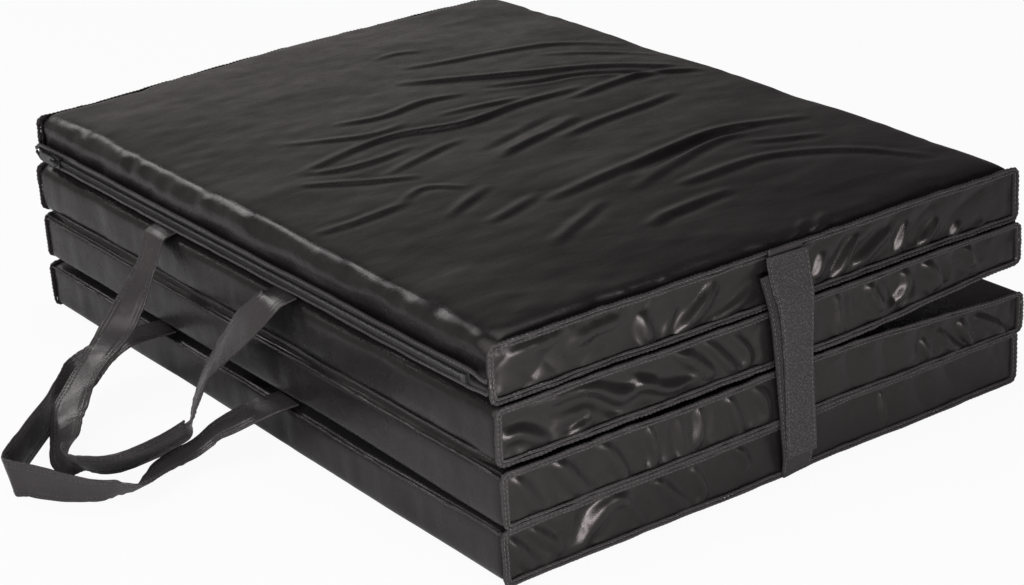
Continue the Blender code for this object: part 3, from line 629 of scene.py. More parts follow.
def nylon_material(name, crinkle=0.35, thread=0.0009, painted_light_share=0.0, smooth_side=0.21, gloss=0.26):
    """Black nylon taffeta with a coated, satin face. It shines in broad soft streaks, is a little
    greyer where it is rubbed, and is covered in fine crinkles 16 to 33 mm apart. The real weave
    of about 0.25 mm is drawn at 0.9 mm or more, so that it shows at all."""
    colours = bpy.context.scene.mat_colours
    made, tree, shader = new_material(
        name,
        specular_ior_level=gloss,
        specular_tint=linear("#FFF2F4"),
        sheen_weight=0.03,
        sheen_roughness=0.45,
    )
    place = add_node(tree, "ShaderNodeTexCoord").outputs["Object"]
    rubbed = add_noise(tree, place, 9.0, detail=3.0, roughness=0.55)
    tint = add_mix(tree, rubbed, colours.nylon, colours.nylon_worn)
    # A share of that lighter grey is painted in, as a highlight for the light that handles, seams
    # and flaps catch.
    tint = add_mix(tree, painted_light_share, tint, colours.painted_lit_nylon)
    fine = add_noise(tree, place, 60.0, detail=4.0, roughness=0.6)
    rough = add_range(tree, fine, 0.3, 0.7, smooth_side, smooth_side + 0.12)
    slant = {"Vector": place, "Rotation": (0.0, 0.0, 0.45), "Scale": (30.0, 62.0, 60.0)}
    slanted = add_node(tree, "ShaderNodeMapping", None, slant).outputs["Vector"]
    crinkles = add_noise(tree, slanted, 1.0, detail=3.0, roughness=0.5, distortion=0.6)
    creased = add_bump(tree, crinkle, 0.0009, crinkles)
    woven = add_bump(tree, 0.18, 0.0001, weave(tree, place, thread), Normal=creased)
    tree.links.new(tint, shader.inputs["Base Color"])
    tree.links.new(rough, shader.inputs["Roughness"])
    tree.links.new(woven, shader.inputs["Normal"])
    return made


def tape_material(name, colour, thread, strength, specks=0.0):
    """Woven nylon or polyester tape. Its ribs of about 1 mm run across it, and it reads its own
    UV map, in metres, so that they follow the tape. A hook tape's hooks show as bright specks."""
    made, tree, shader = new_material(
        name, roughness=0.62, specular_ior_level=0.22, sheen_weight=0.03, sheen_roughness=0.5
    )
    flat = add_node(tree, "ShaderNodeTexCoord").outputs["UV"]
    grain = add_noise(tree, flat, 620.0, detail=2.0, roughness=0.7)
    bright = tuple(min(1.0, part * (1.8 + specks)) for part in colour[:3])
    tint = add_mix(tree, add_range(tree, grain, 0.47, 0.66), colour, (*bright, 1.0))
    height = add_maths(tree, "ADD", weave(tree, flat, thread, ("X", "Y")), grain)
    tree.links.new(tint, shader.inputs["Base Color"])
    tree.links.new(add_bump(tree, strength, 0.0005, height), shader.inputs["Normal"])
    return made


def speckled_material(name, first, second, scale, detail=2.0, span=None, **shader_values):
    """A plain material whose colour goes from one to another in fine specks."""
    made, tree, shader = new_material(name, **shader_values)
    place = add_node(tree, "ShaderNodeTexCoord").outputs["Object"]
    share = add_noise(tree, place, scale, detail=detail)
    if span:
        share = add_range(tree, share, *span)
    tree.links.new(add_mix(tree, share, first, second), shader.inputs["Base Color"])
    return made


def make_material(name):
    """The mat's materials by name. The thread's twist is too fine to draw, and the zip's zinc is
    painted black, worn to a dull grey where it is handled."""
    colours = bpy.context.scene.mat_colours
    hook, loop, zinc = colours.hook_tape, colours.loop_tape, colours.zinc
    # The thread's two tints are both made from that painted highlight grey.
    dark, bright = ((*(part * share for part in colours.thread[:3]), 1.0) for share in (0.6, 1.5))
    coil = linear("#161516"), linear("#242223")
    makers = {
        "coated_nylon_taffeta": lambda: nylon_material(name),
        "coated_nylon_end_cloth": lambda: nylon_material(name, 0.25, smooth_side=0.25, gloss=0.38),
        # The binding and the handle strip take part of that painted lighter grey.
        "nylon_binding": lambda: nylon_material(name, 0.7, 0.0012, 0.45),
        "doubled_nylon_strip": lambda: nylon_material(name, 0.35, 0.0010, 0.75),
        "hook_tape": lambda: tape_material(name, hook, 0.0011, 0.8, 1.2),
        "loop_tape": lambda: tape_material(name, loop, 0.0013, 0.6),
        "zip_tape_weave": lambda: tape_material(name, loop, 0.0009, 0.5),
        "spun_polyester_thread": lambda: speckled_material(
            name, dark, bright, 700.0, 1.0, roughness=0.60, sheen_weight=0.15
        ),
        "painted_zinc": lambda: speckled_material(
            name, zinc, linear("#5A5A5C"), 350.0, 3.0, (0.55, 0.75),
            roughness=0.34, metallic=0.25, coat_weight=0.2
        ),
        "moulded_nylon_coil": lambda: speckled_material(name, *coil, 200.0, roughness=0.32),
    }
    return makers[name]()


def paint(piece, name):
    """Gives a piece the named material, which is made when it is first needed."""
    piece.data.materials.clear()
    piece.data.materials.append(bpy.data.materials.get(name) or make_material(name))


def dress(piece, material, body=None, replaced=(), angle=None):
    """Paints a piece, and says what it rides on, which solids it stands for. With an
    angle it is shaded smooth, but for the edges that are sharper than that."""
    if angle:
        select_alone(piece)
        bpy.ops.object.shade_smooth_by_angle(angle=math.radians(angle))
    paint(piece, material)
    if body:
        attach(piece, body)
    if replaced:
        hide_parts(*replaced)


# Stitches


def stitch_shape():
    """One stitch, one unit long, wide and high: a few-sided bead, drawn out."""
    found = bpy.data.meshes.get("stitch")
    if found is None:
        select_alone(None)
        bpy.ops.mesh.primitive_uv_sphere_add(
            segments=6, ring_count=4, radius=0.5, rotation=(0, math.pi / 2, 0)
        )
        piece = name_piece("stitch")
        bpy.ops.object.transform_apply(location=True, rotation=True, scale=True)
        found = piece.data
        found.use_fake_user = True
        bpy.data.objects.remove(piece)
    return read_points(found), [tuple(face.vertices) for face in found.polygons]


def sew(name, lines, body=None):
    """Rows of stitches. Each line is its points and the way that the cloth faces at each one."""
    sizes = bpy.context.scene.mat_sizes
    bead, faces = stitch_shape()
    bead = bead * (sizes.stitch_length, sizes.thread, sizes.thread * 0.8)
    half = sizes.stitch_length / 2
    beads = []
    for points, ups in lines:
        along = run_along(points)
        both = np.hstack((points, ups))
        count = max(2, int(along[-1] / sizes.stitch_pitch))
        for i in range(count):
            middle = (i + 0.5) * along[-1] / count
            start, spot, end = (
                np.array([np.interp(place, along, column) for column in both.T])
                for place in (middle - half, middle, middle + half)
            )
            ahead = Vector(end[:3] - start[:3]).normalized()
            up = Vector(spot[3:])
            up = (up - ahead * up.dot(ahead)).normalized()
            turn = np.array((ahead, up.cross(ahead), up)).T
            beads.append(bead @ turn.T + spot[:3] + np.array(up) * sizes.thread * 0.10)
    stitches = add_beads(name, beads, faces)
    dress(stitches, "spun_polyester_thread", body)
    return stitches


def outline(panel, inset, y, spacing):
    """Points round a panel's end, a set distance in from its edge, and back to the first."""
    half, low, high = HALF_LENGTH - inset, BASES[panel] + inset, BASES[panel] + THICKNESS - inset
    radius = max(OUTLINE_RADIUS - inset, 0.0015)
    corners = (
        (half - radius, low + radius, -90),
        (half - radius, high - radius, 0),
        (radius - half, high - radius, 90),
        (radius - half, low + radius, 180),
    )
    ring = []
    for x, z, start in corners:
        for step in range(7):
            angle = math.radians(start + 15 * step)
            ring.append((x + radius * math.cos(angle), y, z + radius * math.sin(angle)))
    ring = np.array((*ring, ring[0]))
    return even_route(ring, int(run_along(ring)[-1] / spacing))[0]


# Pieces


def press(points, creases):
    """Heights of the creases at each point, seen from above. Each is a soft ridge with a dip on
    both sides, given in millimetres by its half width, its height and its line."""
    heights = np.zeros(len(points))
    for crease_width, crease_height, line in creases:
        width = crease_width / 1000
        route = smooth_route([(x / 1000, y / 1000, 0) for x, y in line], 8)[:, :2]
        low, high = route.min(0) - 4 * width, route.max(0) + 4 * width
        near = np.flatnonzero(((points[:, :2] > low) & (points[:, :2] < high)).all(1))
        if not len(near):
            continue
        spots = points[near, :2]
        best = np.full(len(near), 1e9)
        side = np.zeros(len(near))
        share = np.zeros(len(near))
        for i, (start, end) in enumerate(zip(route, route[1:])):
            step = end - start
            t = np.clip(((spots - start) @ step) / (step @ step), 0, 1)
            away = spots - start - t[:, None] * step
            distance = np.linalg.norm(away, axis=1)
            closer = distance < best
            best[closer] = distance[closer]
            side[closer] = np.sign(step[0] * away[closer, 1] - step[1] * away[closer, 0])
            share[closer] = (i + t[closer]) / (len(route) - 1)
        taper = np.sin(math.pi * np.clip(share, 0, 1)) ** 0.6
        offset = side * best / width
        shape = hump(offset, 0, 1) - 0.45 * hump(offset, 1.7, 1) - 0.20 * hump(offset, -1.9, 1)
        heights[near] += crease_height / 1000 * taper * shape
    return heights


def make_pad(panel):
    """A panel's foam in its cover: a slab with soft edges, pressed flat where it lies."""
    sizes = bpy.context.scene.mat_sizes
    base, slip, on_top = BASES[panel], SLIPS[panel], panel == "top"
    over = base + THICKNESS
    low = (-HALF_LENGTH + PAD_SIDE_GAP, slip - PAD_END, base + PAD_GAP)
    high = (HALF_LENGTH - PAD_SIDE_GAP, slip + PAD_END, over - PAD_GAP)
    pad = add_box(f"{panel}_panel_pad", low, high)
    bevel = dict(offset=PAD_BEVELS[panel], segments=4, affect="EDGES")
    edit_edges(pad, lambda a, b: abs(a.y - b.y) > 0.1, bpy.ops.mesh.bevel, **bevel)
    grid = sizes.pad_grid * (1 if on_top else 1.2)
    apply_modifier(pad, "REMESH", mode="VOXEL", voxel_size=grid)
    if on_top:
        points = read_points(pad.data)
        swell(pad, 20, 4.0)
        moved = read_points(pad.data) - points
        for axis, most in enumerate(SWELL_MOST):
            points[:, axis] += soft_cap(moved[:, axis], most)
        points[:, 2] = np.maximum(points[:, 2], base + PAD_GAP)
        share = ramp(points[:, 2], base + THICKNESS / 2, over)
        across = 1 - np.abs(points[:, 0] / HALF_LENGTH).clip(0, 1) ** 3
        length = 1 - np.abs((points[:, 1] - slip) / HALF_WIDTH).clip(0, 1) ** 3
        points[:, 2] += sizes.crown * share * across * length
        write_points(pad, points)
    apply_modifier(pad, "SUBSURF", levels=1, render_levels=1)
    points = read_points(pad.data)
    x, y, z = points.T  # these follow each change to the points
    if on_top:
        heights = press(points, TOP_CREASES)
        heights += 0.0007 * soft_noise(points * (1, 1, 0), (0.060, 0.045, 1), 11)
        heights += 0.00025 * soft_noise(points * (1, 1, 0), (0.022, 0.012, 1), 12)
        z += heights * ramp(z, over - 0.006, over - 0.001)
    # The long sides are drawn a little unevenly over the foam, in upright creases.
    side = ramp(np.abs(x), HALF_LENGTH - 0.010, HALF_LENGTH - 0.002)
    upright = columns(np.sign(x), y, z * 0.25)
    middle = np.sin(math.pi * np.clip((z - base) / THICKNESS, 0, 1))
    lumps = 0.0009 * soft_noise(upright, (1, 0.035, 0.03), 21)
    lumps += 0.0004 * soft_noise(upright, (1, 0.012, 0.03), 22)
    x += np.sign(x) * side * middle * lumps
    if on_top:
        # The upper edge on the handle side is drawn up in small ragged puckers.
        rim = hump(z, over - 0.003, 0.006) * ramp(-x, HALF_LENGTH - 0.016, HALF_LENGTH - 0.004)
        ragged = 0.0013 * soft_noise(upright, (1, 0.014, 0.06), 23)
        ragged += 0.0012 * soft_noise(upright, (1, 0.034, 0.06), 24)
        z += rim * ragged
        x -= 0.6 * rim * ragged
        # Over the zip the side leans in, and below it the cover's lower edge stands out.
        near_side = ramp(-x, HALF_LENGTH - 0.010, HALF_LENGTH - 0.002)
        x += 0.0016 * hump(z, base + 0.0215, 0.0060) * near_side
    edge = np.minimum(HALF_LENGTH - np.abs(x), np.minimum(z - base, over - z))
    at_end = ramp(np.abs(y - slip), PAD_END - 0.0035, PAD_END - 0.0002)
    y -= np.sign(y - slip) * PAD_END_DISH * at_end * ramp(edge, 0.002, 0.008)
    write_points(pad, settle(panel, points))
    replaced = (f"{panel}_panel_cover", f"{panel}_panel_foam")
    dress(pad, "coated_nylon_taffeta", f"{panel}_panel", replaced, 60)


def make_edge_seam(panel):
    """The thin stitched ridge along a panel's upper edge on the handle side."""
    start, end = SLIPS[panel] - HALF_WIDTH + 0.004, SLIPS[panel] + HALF_WIDTH - 0.004
    y = np.arange(start, end, 0.0025)
    line = columns(-HALF_LENGTH + 0.0008, y, BASES[panel] + THICKNESS - 0.0034)
    line[:, 0] -= 0.0004 * soft_noise(line, (1, 0.020, 1), 101 + PANELS.index(panel))
    gathers = 1 + 0.20 * soft_noise(line, (1, 0.006, 1), 103)
    ways = np.tile((-0.6, 0.0, 0.8), (len(y), 1))
    name = f"{panel}_panel_edge_seam"
    ridge = lay_strip(name, line, ways, 0.0024 * gathers, 0.0016, 4)[0]
    write_points(ridge, settle(panel, read_points(ridge.data)))
    dress(ridge, "nylon_binding", f"{panel}_panel", angle=60)


def make_end_seam(panel, end_name, facing):
    """The seam round a panel's end: two turned, puckered edges side by side, each stitched down."""
    sizes = bpy.context.scene.mat_sizes
    name, body = f"{panel}_panel_{end_name}", f"{panel}_panel"
    front = SLIPS[panel] + facing * (HALF_WIDTH - SEAM_BACK)
    seed = 31 + PANELS.index(panel) * 2 + (facing > 0)
    ropes, lines = [], []
    for row, inset in enumerate(SEAM_INSETS):
        ring = outline(panel, inset, front, SEAM_STEP)
        ring[:, 1] += facing * (0.0007 * soft_noise(ring, 0.016, seed) - 0.0003 * row)
        ring[:, 2] += (0.0002 + 0.0002 * row) * soft_noise(ring, 0.010, seed + 20 + row)
        ahead = np.gradient(ring, axis=0)
        inward = columns(-ahead[:, 2], 0, ahead[:, 0])
        run = np.arange(len(ring)) * SEAM_STEP
        gathers = 1 + 0.18 * np.cos(2 * math.pi * run / sizes.stitch_pitch)
        gathers += 0.25 * soft_noise(ring, 0.006, seed + 40 + row)
        widths = sizes.seam_width * (1 - 0.12 * row) * gathers
        rope = lay_strip(f"{name}_seam", ring, inward, widths, sizes.seam_rise * gathers, 5)[0]
        ropes.append(rope)
        line = ring.copy()
        line[:, 1] += facing * (sizes.seam_rise / 2 + 0.0001)
        lines.append((settle(panel, line), np.tile((0.0, facing, 0.0), (len(line), 1))))
    seam = ropes[0]
    select_alone(seam)
    ropes[1].select_set(True)
    bpy.ops.object.join()
    points = settle(panel, read_points(seam.data))
    points[:, 2] = np.maximum(points[:, 2], SEAM_FLOOR_GAP)
    write_points(seam, points)
    dress(seam, "nylon_binding", body, angle=60)
    sew(f"{name}_stitching", lines, body)


def buckle(x, z, edge, lean, seed):
    """Folds in cloth that is held round its edge: slanting swells about 36 mm apart with sharp
    valleys between them, weaker ones across them, and short gathers along the seams."""
    spots = columns(x, z, 0)
    phase = (x - lean * z) / 0.036 + 0.60 * soft_noise(spots, (0.075, 0.050, 1), seed)
    swells = np.abs(np.sin(math.pi * phase)) ** 0.75
    depth = 0.55 + 0.45 * soft_noise(spots, (0.055, 0.10, 1), seed + 100)
    phase = (x + 0.6 * lean * z) / 0.019 + 0.9 * soft_noise(spots, (0.04, 0.02, 1), seed + 200)
    share = np.clip(soft_noise(spots, (0.045, 0.03, 1), seed + 300), 0, 1)
    cross = np.abs(np.sin(math.pi * phase)) * share
    gathers = soft_noise(spots, (0.0065, 0.012, 1), seed + 400) * np.exp(-edge / 0.0060)
    return (swells - 0.6) * depth + 0.45 * (cross - 0.3) + 0.35 * gathers


def make_end_cloth(panel, end_name, facing):
    """The cloth in a panel's end, cut a little long, so that it buckles between its seams. On the
    front end the straps press on it, and it also has the folds that the photograph shows."""
    sizes = bpy.context.scene.mat_sizes
    seed = 11 * (PANELS.index(panel) * 2 + (facing > 0))
    length, height = 2 * (HALF_LENGTH - END_CLOTH_INSET), THICKNESS - 2 * END_CLOTH_INSET
    cloth, u, v = add_cloth(f"{panel}_panel_{end_name}_cloth", length, height, 260, 22)
    x, z = (u - 0.5) * length, (v - 0.5) * height
    above_floor = BASES[panel] + THICKNESS / 2 + z
    edge = np.minimum(np.minimum(u, 1 - u) * length, np.minimum(v, 1 - v) * height)
    out = sizes.buckle * buckle(x, z, edge, END_LEANS[panel], seed)
    if facing < 0:
        folds = press(columns(x, above_floor, 0), FRONT_FOLDS[panel])
        out = 0.75 * out + sizes.front_fold * folds
        out *= 1 - 0.75 * hump(x, STRAP_MIDDLE_X, STRAP_PRESS_REACH)
    out = out * (0.25 + 0.75 * ramp(edge, 0.0, 0.007)) - 0.0006
    back = SLIPS[panel] + facing * (HALF_WIDTH - END_CLOTH_BACK)
    points = columns(x, back + facing * soft_cap(out, END_FOLD_MOST), above_floor)
    write_points(cloth, points)
    apply_modifier(cloth, "SUBSURF", levels=1, render_levels=1)
    apply_modifier(cloth, "SOLIDIFY", thickness=0.0005, offset=0.0)
    write_points(cloth, settle(panel, read_points(cloth.data)))
    replaced = (f"{panel}_panel_{end_name}_gusset",)
    dress(cloth, "coated_nylon_end_cloth", f"{panel}_panel", replaced, 70)


def lay_strip(name, centres, ways, widths, thickness, rows, swell_shape=None, cup=0.0):
    """A strip of webbing laid along a line: both faces and both edges, closed at its ends. Its
    cup is how far its edges curl up, in metres. Also gives which way it is wide and faces."""
    count, around = len(centres), 2 * rows
    strip, u, v = add_cloth(name, 1.0, 1.0, count - 1, around)
    order = np.round(u * (count - 1)).astype(int)
    turn = np.round(v * around).astype(int) % around
    ahead = np.gradient(centres, axis=0)
    ahead /= np.linalg.norm(ahead, axis=1)[:, None]
    across = ways - ahead * (ways * ahead).sum(1)[:, None]
    across /= np.linalg.norm(across, axis=1)[:, None]
    face = np.cross(ahead, across)
    angle = 2 * math.pi * turn / around
    flat = np.cos(angle)
    half = widths[order] / 2
    share = np.sign(flat) * np.abs(flat) ** 0.9
    aside = share * half
    body = np.sign(np.sin(angle)) * np.abs(np.sin(angle)) ** 0.25
    if swell_shape is not None:
        body = body * swell_shape(aside, half)
    lift = body * np.broadcast_to(thickness, count)[order] / 2
    lift += np.broadcast_to(cup, count)[order] * (share**2 - 0.4)
    points = centres[order] + across[order] * aside[:, None] + face[order] * lift[:, None]
    write_points(strip, points)
    write_uv(strip, np.stack((run_along(centres)[order], aside), 1))
    face_outward(strip, close=True)
    return strip, across, face


def strip_line(centres, across, face, offset, lift, skip, cup=0.0, half=1.0):
    """A sewing line along one face of a strip, without its first and last few points."""
    curl = cup * ((offset / half) ** 2 - 0.4)
    points = centres + across * offset[:, None] + face * (lift + curl)[:, None]
    return points[skip:-skip], (np.sign(lift) * face)[skip:-skip]


def dimpled(aside, half):
    """The thickness of a handle's strip, which is drawn in along its rows of stitches."""
    from_edge = half - np.abs(aside)
    return 1 - 0.42 * sum(hump(from_edge, row, 0.0006) for row in HANDLE_STITCH_ROWS)


def make_handle(body, route):
    """A folded nylon strip, double-stitched along both edges and sewn in at both ends."""
    rows = np.array([(-out, y, z) for out, y, z, way in route]) / 1000
    rows += (HANDLE_SEAM_X, HANDLE_SEAM_Y, 0)
    rows = np.hstack((rows, [(-way[0], way[1], way[2]) for out, y, z, way in route]))
    rows = np.vstack((rows[0], rows, rows[-1]))
    rows[0, 0] = rows[-1, 0] = HANDLE_HIDDEN_X
    fine, length = even_route(smooth_route(rows, 10), 210)
    centres, ways = fine[:, :3], fine[:, 3:]
    run = np.linspace(0, length, len(centres))
    spots = columns(run, 0, 0)
    held = ramp(run, 0, 0.03) * ramp(length - run, 0, 0.03)
    widths = HANDLE_WIDTH * (1 - 0.02 * held * np.abs(soft_noise(spots, 0.07, 61)))
    cup = held * 0.0005 * soft_noise(spots, 0.070, 83)
    twist = np.stack([soft_noise(spots, 0.050, seed) for seed in (62, 63, 64)], 1)
    ways = ways + held[:, None] * 0.02 * twist
    strip, across, face = lay_strip(
        f"{body}_strip", centres, ways, widths, HANDLE_THICKNESS, 30, dimpled, cup
    )
    points = read_points(strip.data)
    points[:, 2] = np.maximum(points[:, 2], 0.0003)
    write_points(strip, points)
    dress(strip, "doubled_nylon_strip", body, (body,), 60)
    lines = []
    for from_edge, side, lift in itertools.product(HANDLE_STITCH_ROWS, (-1, 1), (-1, 1)):
        offset, rise = side * (widths / 2 - from_edge), lift * HANDLE_THICKNESS * 0.36
        line = strip_line(centres, across, face, offset, rise, 6, cup, widths / 2)
        line[0][:, 2] = np.maximum(line[0][:, 2], 0.0006)
        lines.append(line)
    stitches = sew(f"{body}_stitching", lines, body)
    # Each piece is given a copy of its mesh, of its own.
    for piece in (strip, stitches):
        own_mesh(piece)


def make_fold(name, below, above, side, bulge, reach):
    """The cloth across a fold. On the far side it is a loose, puckered bag round both edges, and
    on the handle side a narrow strip that dips in between the panels."""
    fold = FOLDS[name]
    start = max(SLIPS[below], SLIPS[above]) - HALF_WIDTH + 0.0080
    end = min(SLIPS[below], SLIPS[above]) + HALF_WIDTH - 0.0080
    web, u, v = add_cloth(f"{name}_cloth", end - start, 2 * reach, 260, 22)
    y = start + (end - start) * u
    rise = (v - 0.5) * 2 * reach
    ends = ramp(y - start, 0, 0.03) * ramp(end - y, 0, 0.03)
    spots = columns(y, rise * 0.4, 0)
    if bulge:
        shape = np.cos(math.pi * (v - 0.5)) ** 0.8
        pucker = 0.0016 * soft_noise(spots, (0.020, 0.02, 1), 71)
        pucker += 0.0010 * soft_noise(spots, (0.009, 0.02, 1), 72)
        full = bulge * (1 - 0.35 * hump(rise, 0, 0.0030)) * (0.75 + 0.25 * ends)
        out = HALF_LENGTH + 0.0008 + (full + pucker) * shape
    else:
        out = HALF_LENGTH - 0.0002 - 0.0045 * hump(rise, 0, 0.0036) - 0.0030 * (1 - ends)
        out += 0.0003 * soft_noise(spots, (0.030, 0.02, 1), 73)
    write_points(web, columns(side * out, y, fold.z + rise))
    apply_modifier(web, "SOLIDIFY", thickness=0.0009, offset=0.0)
    face_outward(web)
    dress(web, "coated_nylon_taffeta", None, (f"{name}_web",), 60)
    lines = []
    y = np.linspace(start + 0.002, end - 0.002, 300)
    for from_edge in (0.0014, 0.0044) if bulge else (0.0014,):
        for rise in (from_edge - reach, reach - from_edge):
            if bulge:
                shape = math.cos(math.pi * rise / (2 * reach)) ** 0.8
                out = HALF_LENGTH + 0.0014 + bulge * 0.78 * shape
            else:
                out = HALF_LENGTH - 0.0001 - 0.0045 * hump(rise, 0, 0.0036)
            points = columns(side * out, y, fold.z + rise)
            lines.append((points, np.tile((side, 0.0, 0.0), (len(y), 1))))
    stitches = sew(f"{name}_stitching", lines)
    for piece in (web, stitches):
        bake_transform(piece)


def make_strap(node, body, centres, widths):
    """A closing strap, stitched down both edges on both faces."""
    centres = even_route(smooth_route(centres, 8), 120)[0]
    shares = np.linspace(0, 1, len(centres))
    widths = np.interp(shares, np.linspace(0, 1, len(widths)), widths)
    ways = np.tile((1.0, 0.0, 0.0), (len(centres), 1))
    ways[:, 1] += 0.06 * soft_noise(columns(centres[:, 2], 0, 0), 0.030, 81)
    strip, across, face = lay_strip(f"{node}_tape", centres, ways, widths, STRAP_THICKNESS, 16)
    points = read_points(strip.data)
    points[:, 1] += 0.0003 * soft_noise(points, (0.010, 0.01, 0.016), 82)
    write_points(strip, points)
    finish = node.replace("strap", "tape")
    dress(strip, finish, body, (node,), 50)
    lines = []
    for side, lift in itertools.product((-1, 1), (-1, 1)):
        offset, rise = side * (widths / 2 - STRAP_STITCH_ROW), lift * STRAP_THICKNESS * 0.47
        lines.append(strip_line(centres, across, face, offset, rise, 2))
    return strip, sew(f"{node}_stitching", lines, body)


class MAT_OT_panels(bpy.types.Operator):
    """Makes the four padded panels"""

    bl_idname = "mat.panels"
    bl_label = "Make panels"

    def execute(self, context):
        for panel in PANELS:
            make_pad(panel)
        return {"FINISHED"}


class MAT_OT_ends(bpy.types.Operator):
    """Makes the cloth and the bound seams at both ends of each panel"""

    bl_idname = "mat.ends"
    bl_label = "Make ends"

    def execute(self, context):
        for panel in PANELS:
            for end_name, facing in ENDS.items():
                make_end_seam(panel, end_name, facing)
                make_end_cloth(panel, end_name, facing)
        for panel in ("bottom", "lower"):
            make_edge_seam(panel)
        return {"FINISHED"}


class MAT_OT_folds(bpy.types.Operator):
    """Makes the cloth across the three folds"""

    bl_idname = "mat.folds"
    bl_label = "Make folds"

    def execute(self, context):
        make_fold("lower_fold", "bottom", "lower", 1, 0.0070, 0.0250)
        make_fold("middle_fold", "lower", "upper", -1, 0.0, 0.0062)
        make_fold("upper_fold", "upper", "top", 1, 0.0070, 0.0250)
        return {"FINISHED"}


class MAT_OT_handles(bpy.types.Operator):
    """Makes the two carrying handles"""

    bl_idname = "mat.handles"
    bl_label = "Make handles"

    def execute(self, context):
        make_handle("upper_handle", UPPER_HANDLE_ROUTE)
        make_handle("lower_handle", LOWER_HANDLE_ROUTE)
        return {"FINISHED"}


class MAT_OT_straps(bpy.types.Operator):
    """Makes the closing straps and the tab above them"""

    bl_idname = "mat.straps"
    bl_label = "Make straps"

    def execute(self, context):
        make_strap("hook_strap", "hook_strap", HOOK_STRAP_ROUTE, HOOK_STRAP_WIDTHS)
        loop = make_strap("loop_strap", "bottom_panel", LOOP_STRAP_ROUTE, LOOP_STRAP_WIDTHS)
        for piece in loop:
            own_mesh(piece)
        self.make_tab()
        return {"FINISHED"}

    def make_tab(self):
        """The strap's turned end: a small doubled scrap, sewn over the top seam."""
        tab = add_box("hook_strap_tab_scrap", *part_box("hook_strap_tab"))
        divide = bpy.ops.mesh.subdivide
        edit_edges(tab, lambda a, b: abs(a.x - b.x) > 0.01, divide, number_cuts=14)
        edit_edges(tab, lambda a, b: abs(a.z - b.z) > 0.003, divide, number_cuts=4)
        apply_modifier(tab, "BEVEL", width=0.0003, segments=2, limit_method="ANGLE")
        points = read_points(tab.data)
        points[:, 1] += 0.0002 * soft_noise(points, 0.006, 91)
        points[:, 2] += 0.0004 * soft_noise(points, 0.008, 92)
        write_points(tab, points)
        dress(tab, "nylon_binding", "top_panel", ("hook_strap_tab",), 50)


class MAT_OT_zip(bpy.types.Operator):
    """Makes the zip: its tape, coil, covering flaps and painted metal"""

    bl_idname = "mat.zip"
    bl_label = "Make zip"

    def execute(self, context):
        low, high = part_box("zip_tape")
        middle = (low.z + high.z) / 2
        tape = add_box("zip_tape_strip", low, high)
        divide = bpy.ops.mesh.subdivide
        edit_edges(tape, lambda a, b: abs(a.y - b.y) > 0.1, divide, number_cuts=180)
        dress(tape, "zip_tape_weave", "top_panel", ("zip_tape",), 40)
        self.make_coil(middle)
        self.make_flaps(low.y, high.y, middle)
        for node in ("zip_front_stop", "zip_rear_stop", "zip_slider", "zip_pull"):
            paint(frame["nodes"][node], "painted_zinc")
        return {"FINISHED"}

    def make_coil(self, middle):
        """The coil's turns: one modelled bead, copied along the zip."""
        low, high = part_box("zip_coil")
        bead, faces = stitch_shape()
        bead = bead[:, [1, 0, 2]] * (0.0026, 0.0012, 0.0050)
        pitch = 0.0015
        beads = []
        for i in range(int((high.y - low.y) / pitch)):
            height = middle + (0.0002 if i % 2 else -0.0002)
            beads.append(bead + (low.x + 0.0013, low.y + (i + 0.5) * pitch, height))
        coil = add_beads("zip_coil_turns", beads, faces)
        face_outward(coil)
        dress(coil, "moulded_nylon_coil", "top_panel", ("zip_coil",))

    def make_flaps(self, start, end, middle):
        """The cover's folded edges above and below the coil. They meet past the zip's rear end."""
        slider_low, slider_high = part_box("zip_slider")
        spans = {
            "upper": (slider_high.z + 0.0003, 0.0030),
            "lower": (slider_low.z - 0.0003, -0.0026),
        }
        for name, (inner, width) in spans.items():
            y = np.arange(start - 0.019, end + 0.010, 0.003)
            closed = 0.35 * (1 - ramp(y, start - 0.016, start - 0.001))
            closed += ramp(y, end + 0.001, end + 0.009)
            height = inner + width / 2 + (middle - inner) * closed
            line = columns(-HALF_LENGTH - 0.0013, y, height)
            line[:, 2] += 0.0004 * soft_noise(line, (1, 0.03, 1), 100)
            line[:, 0] -= 0.0004 * soft_noise(line, (1, 0.02, 1), 102)
            widths = abs(width) * (1 + 0.12 * soft_noise(line, (1, 0.008, 1), 99))
            ways = np.tile((0.0, 0.0, 1.0), (len(y), 1))
            flap = lay_strip(f"zip_{name}_flap", line, ways, widths, 0.0018, 6)[0]
            dress(flap, "nylon_binding", "top_panel", angle=60)
            seam = line - (0.0009, 0, 0)
            rows = [(seam, np.tile((-1.0, 0.0, 0.0), (len(y), 1)))]
            sew(f"zip_{name}_stitching", rows, "top_panel")


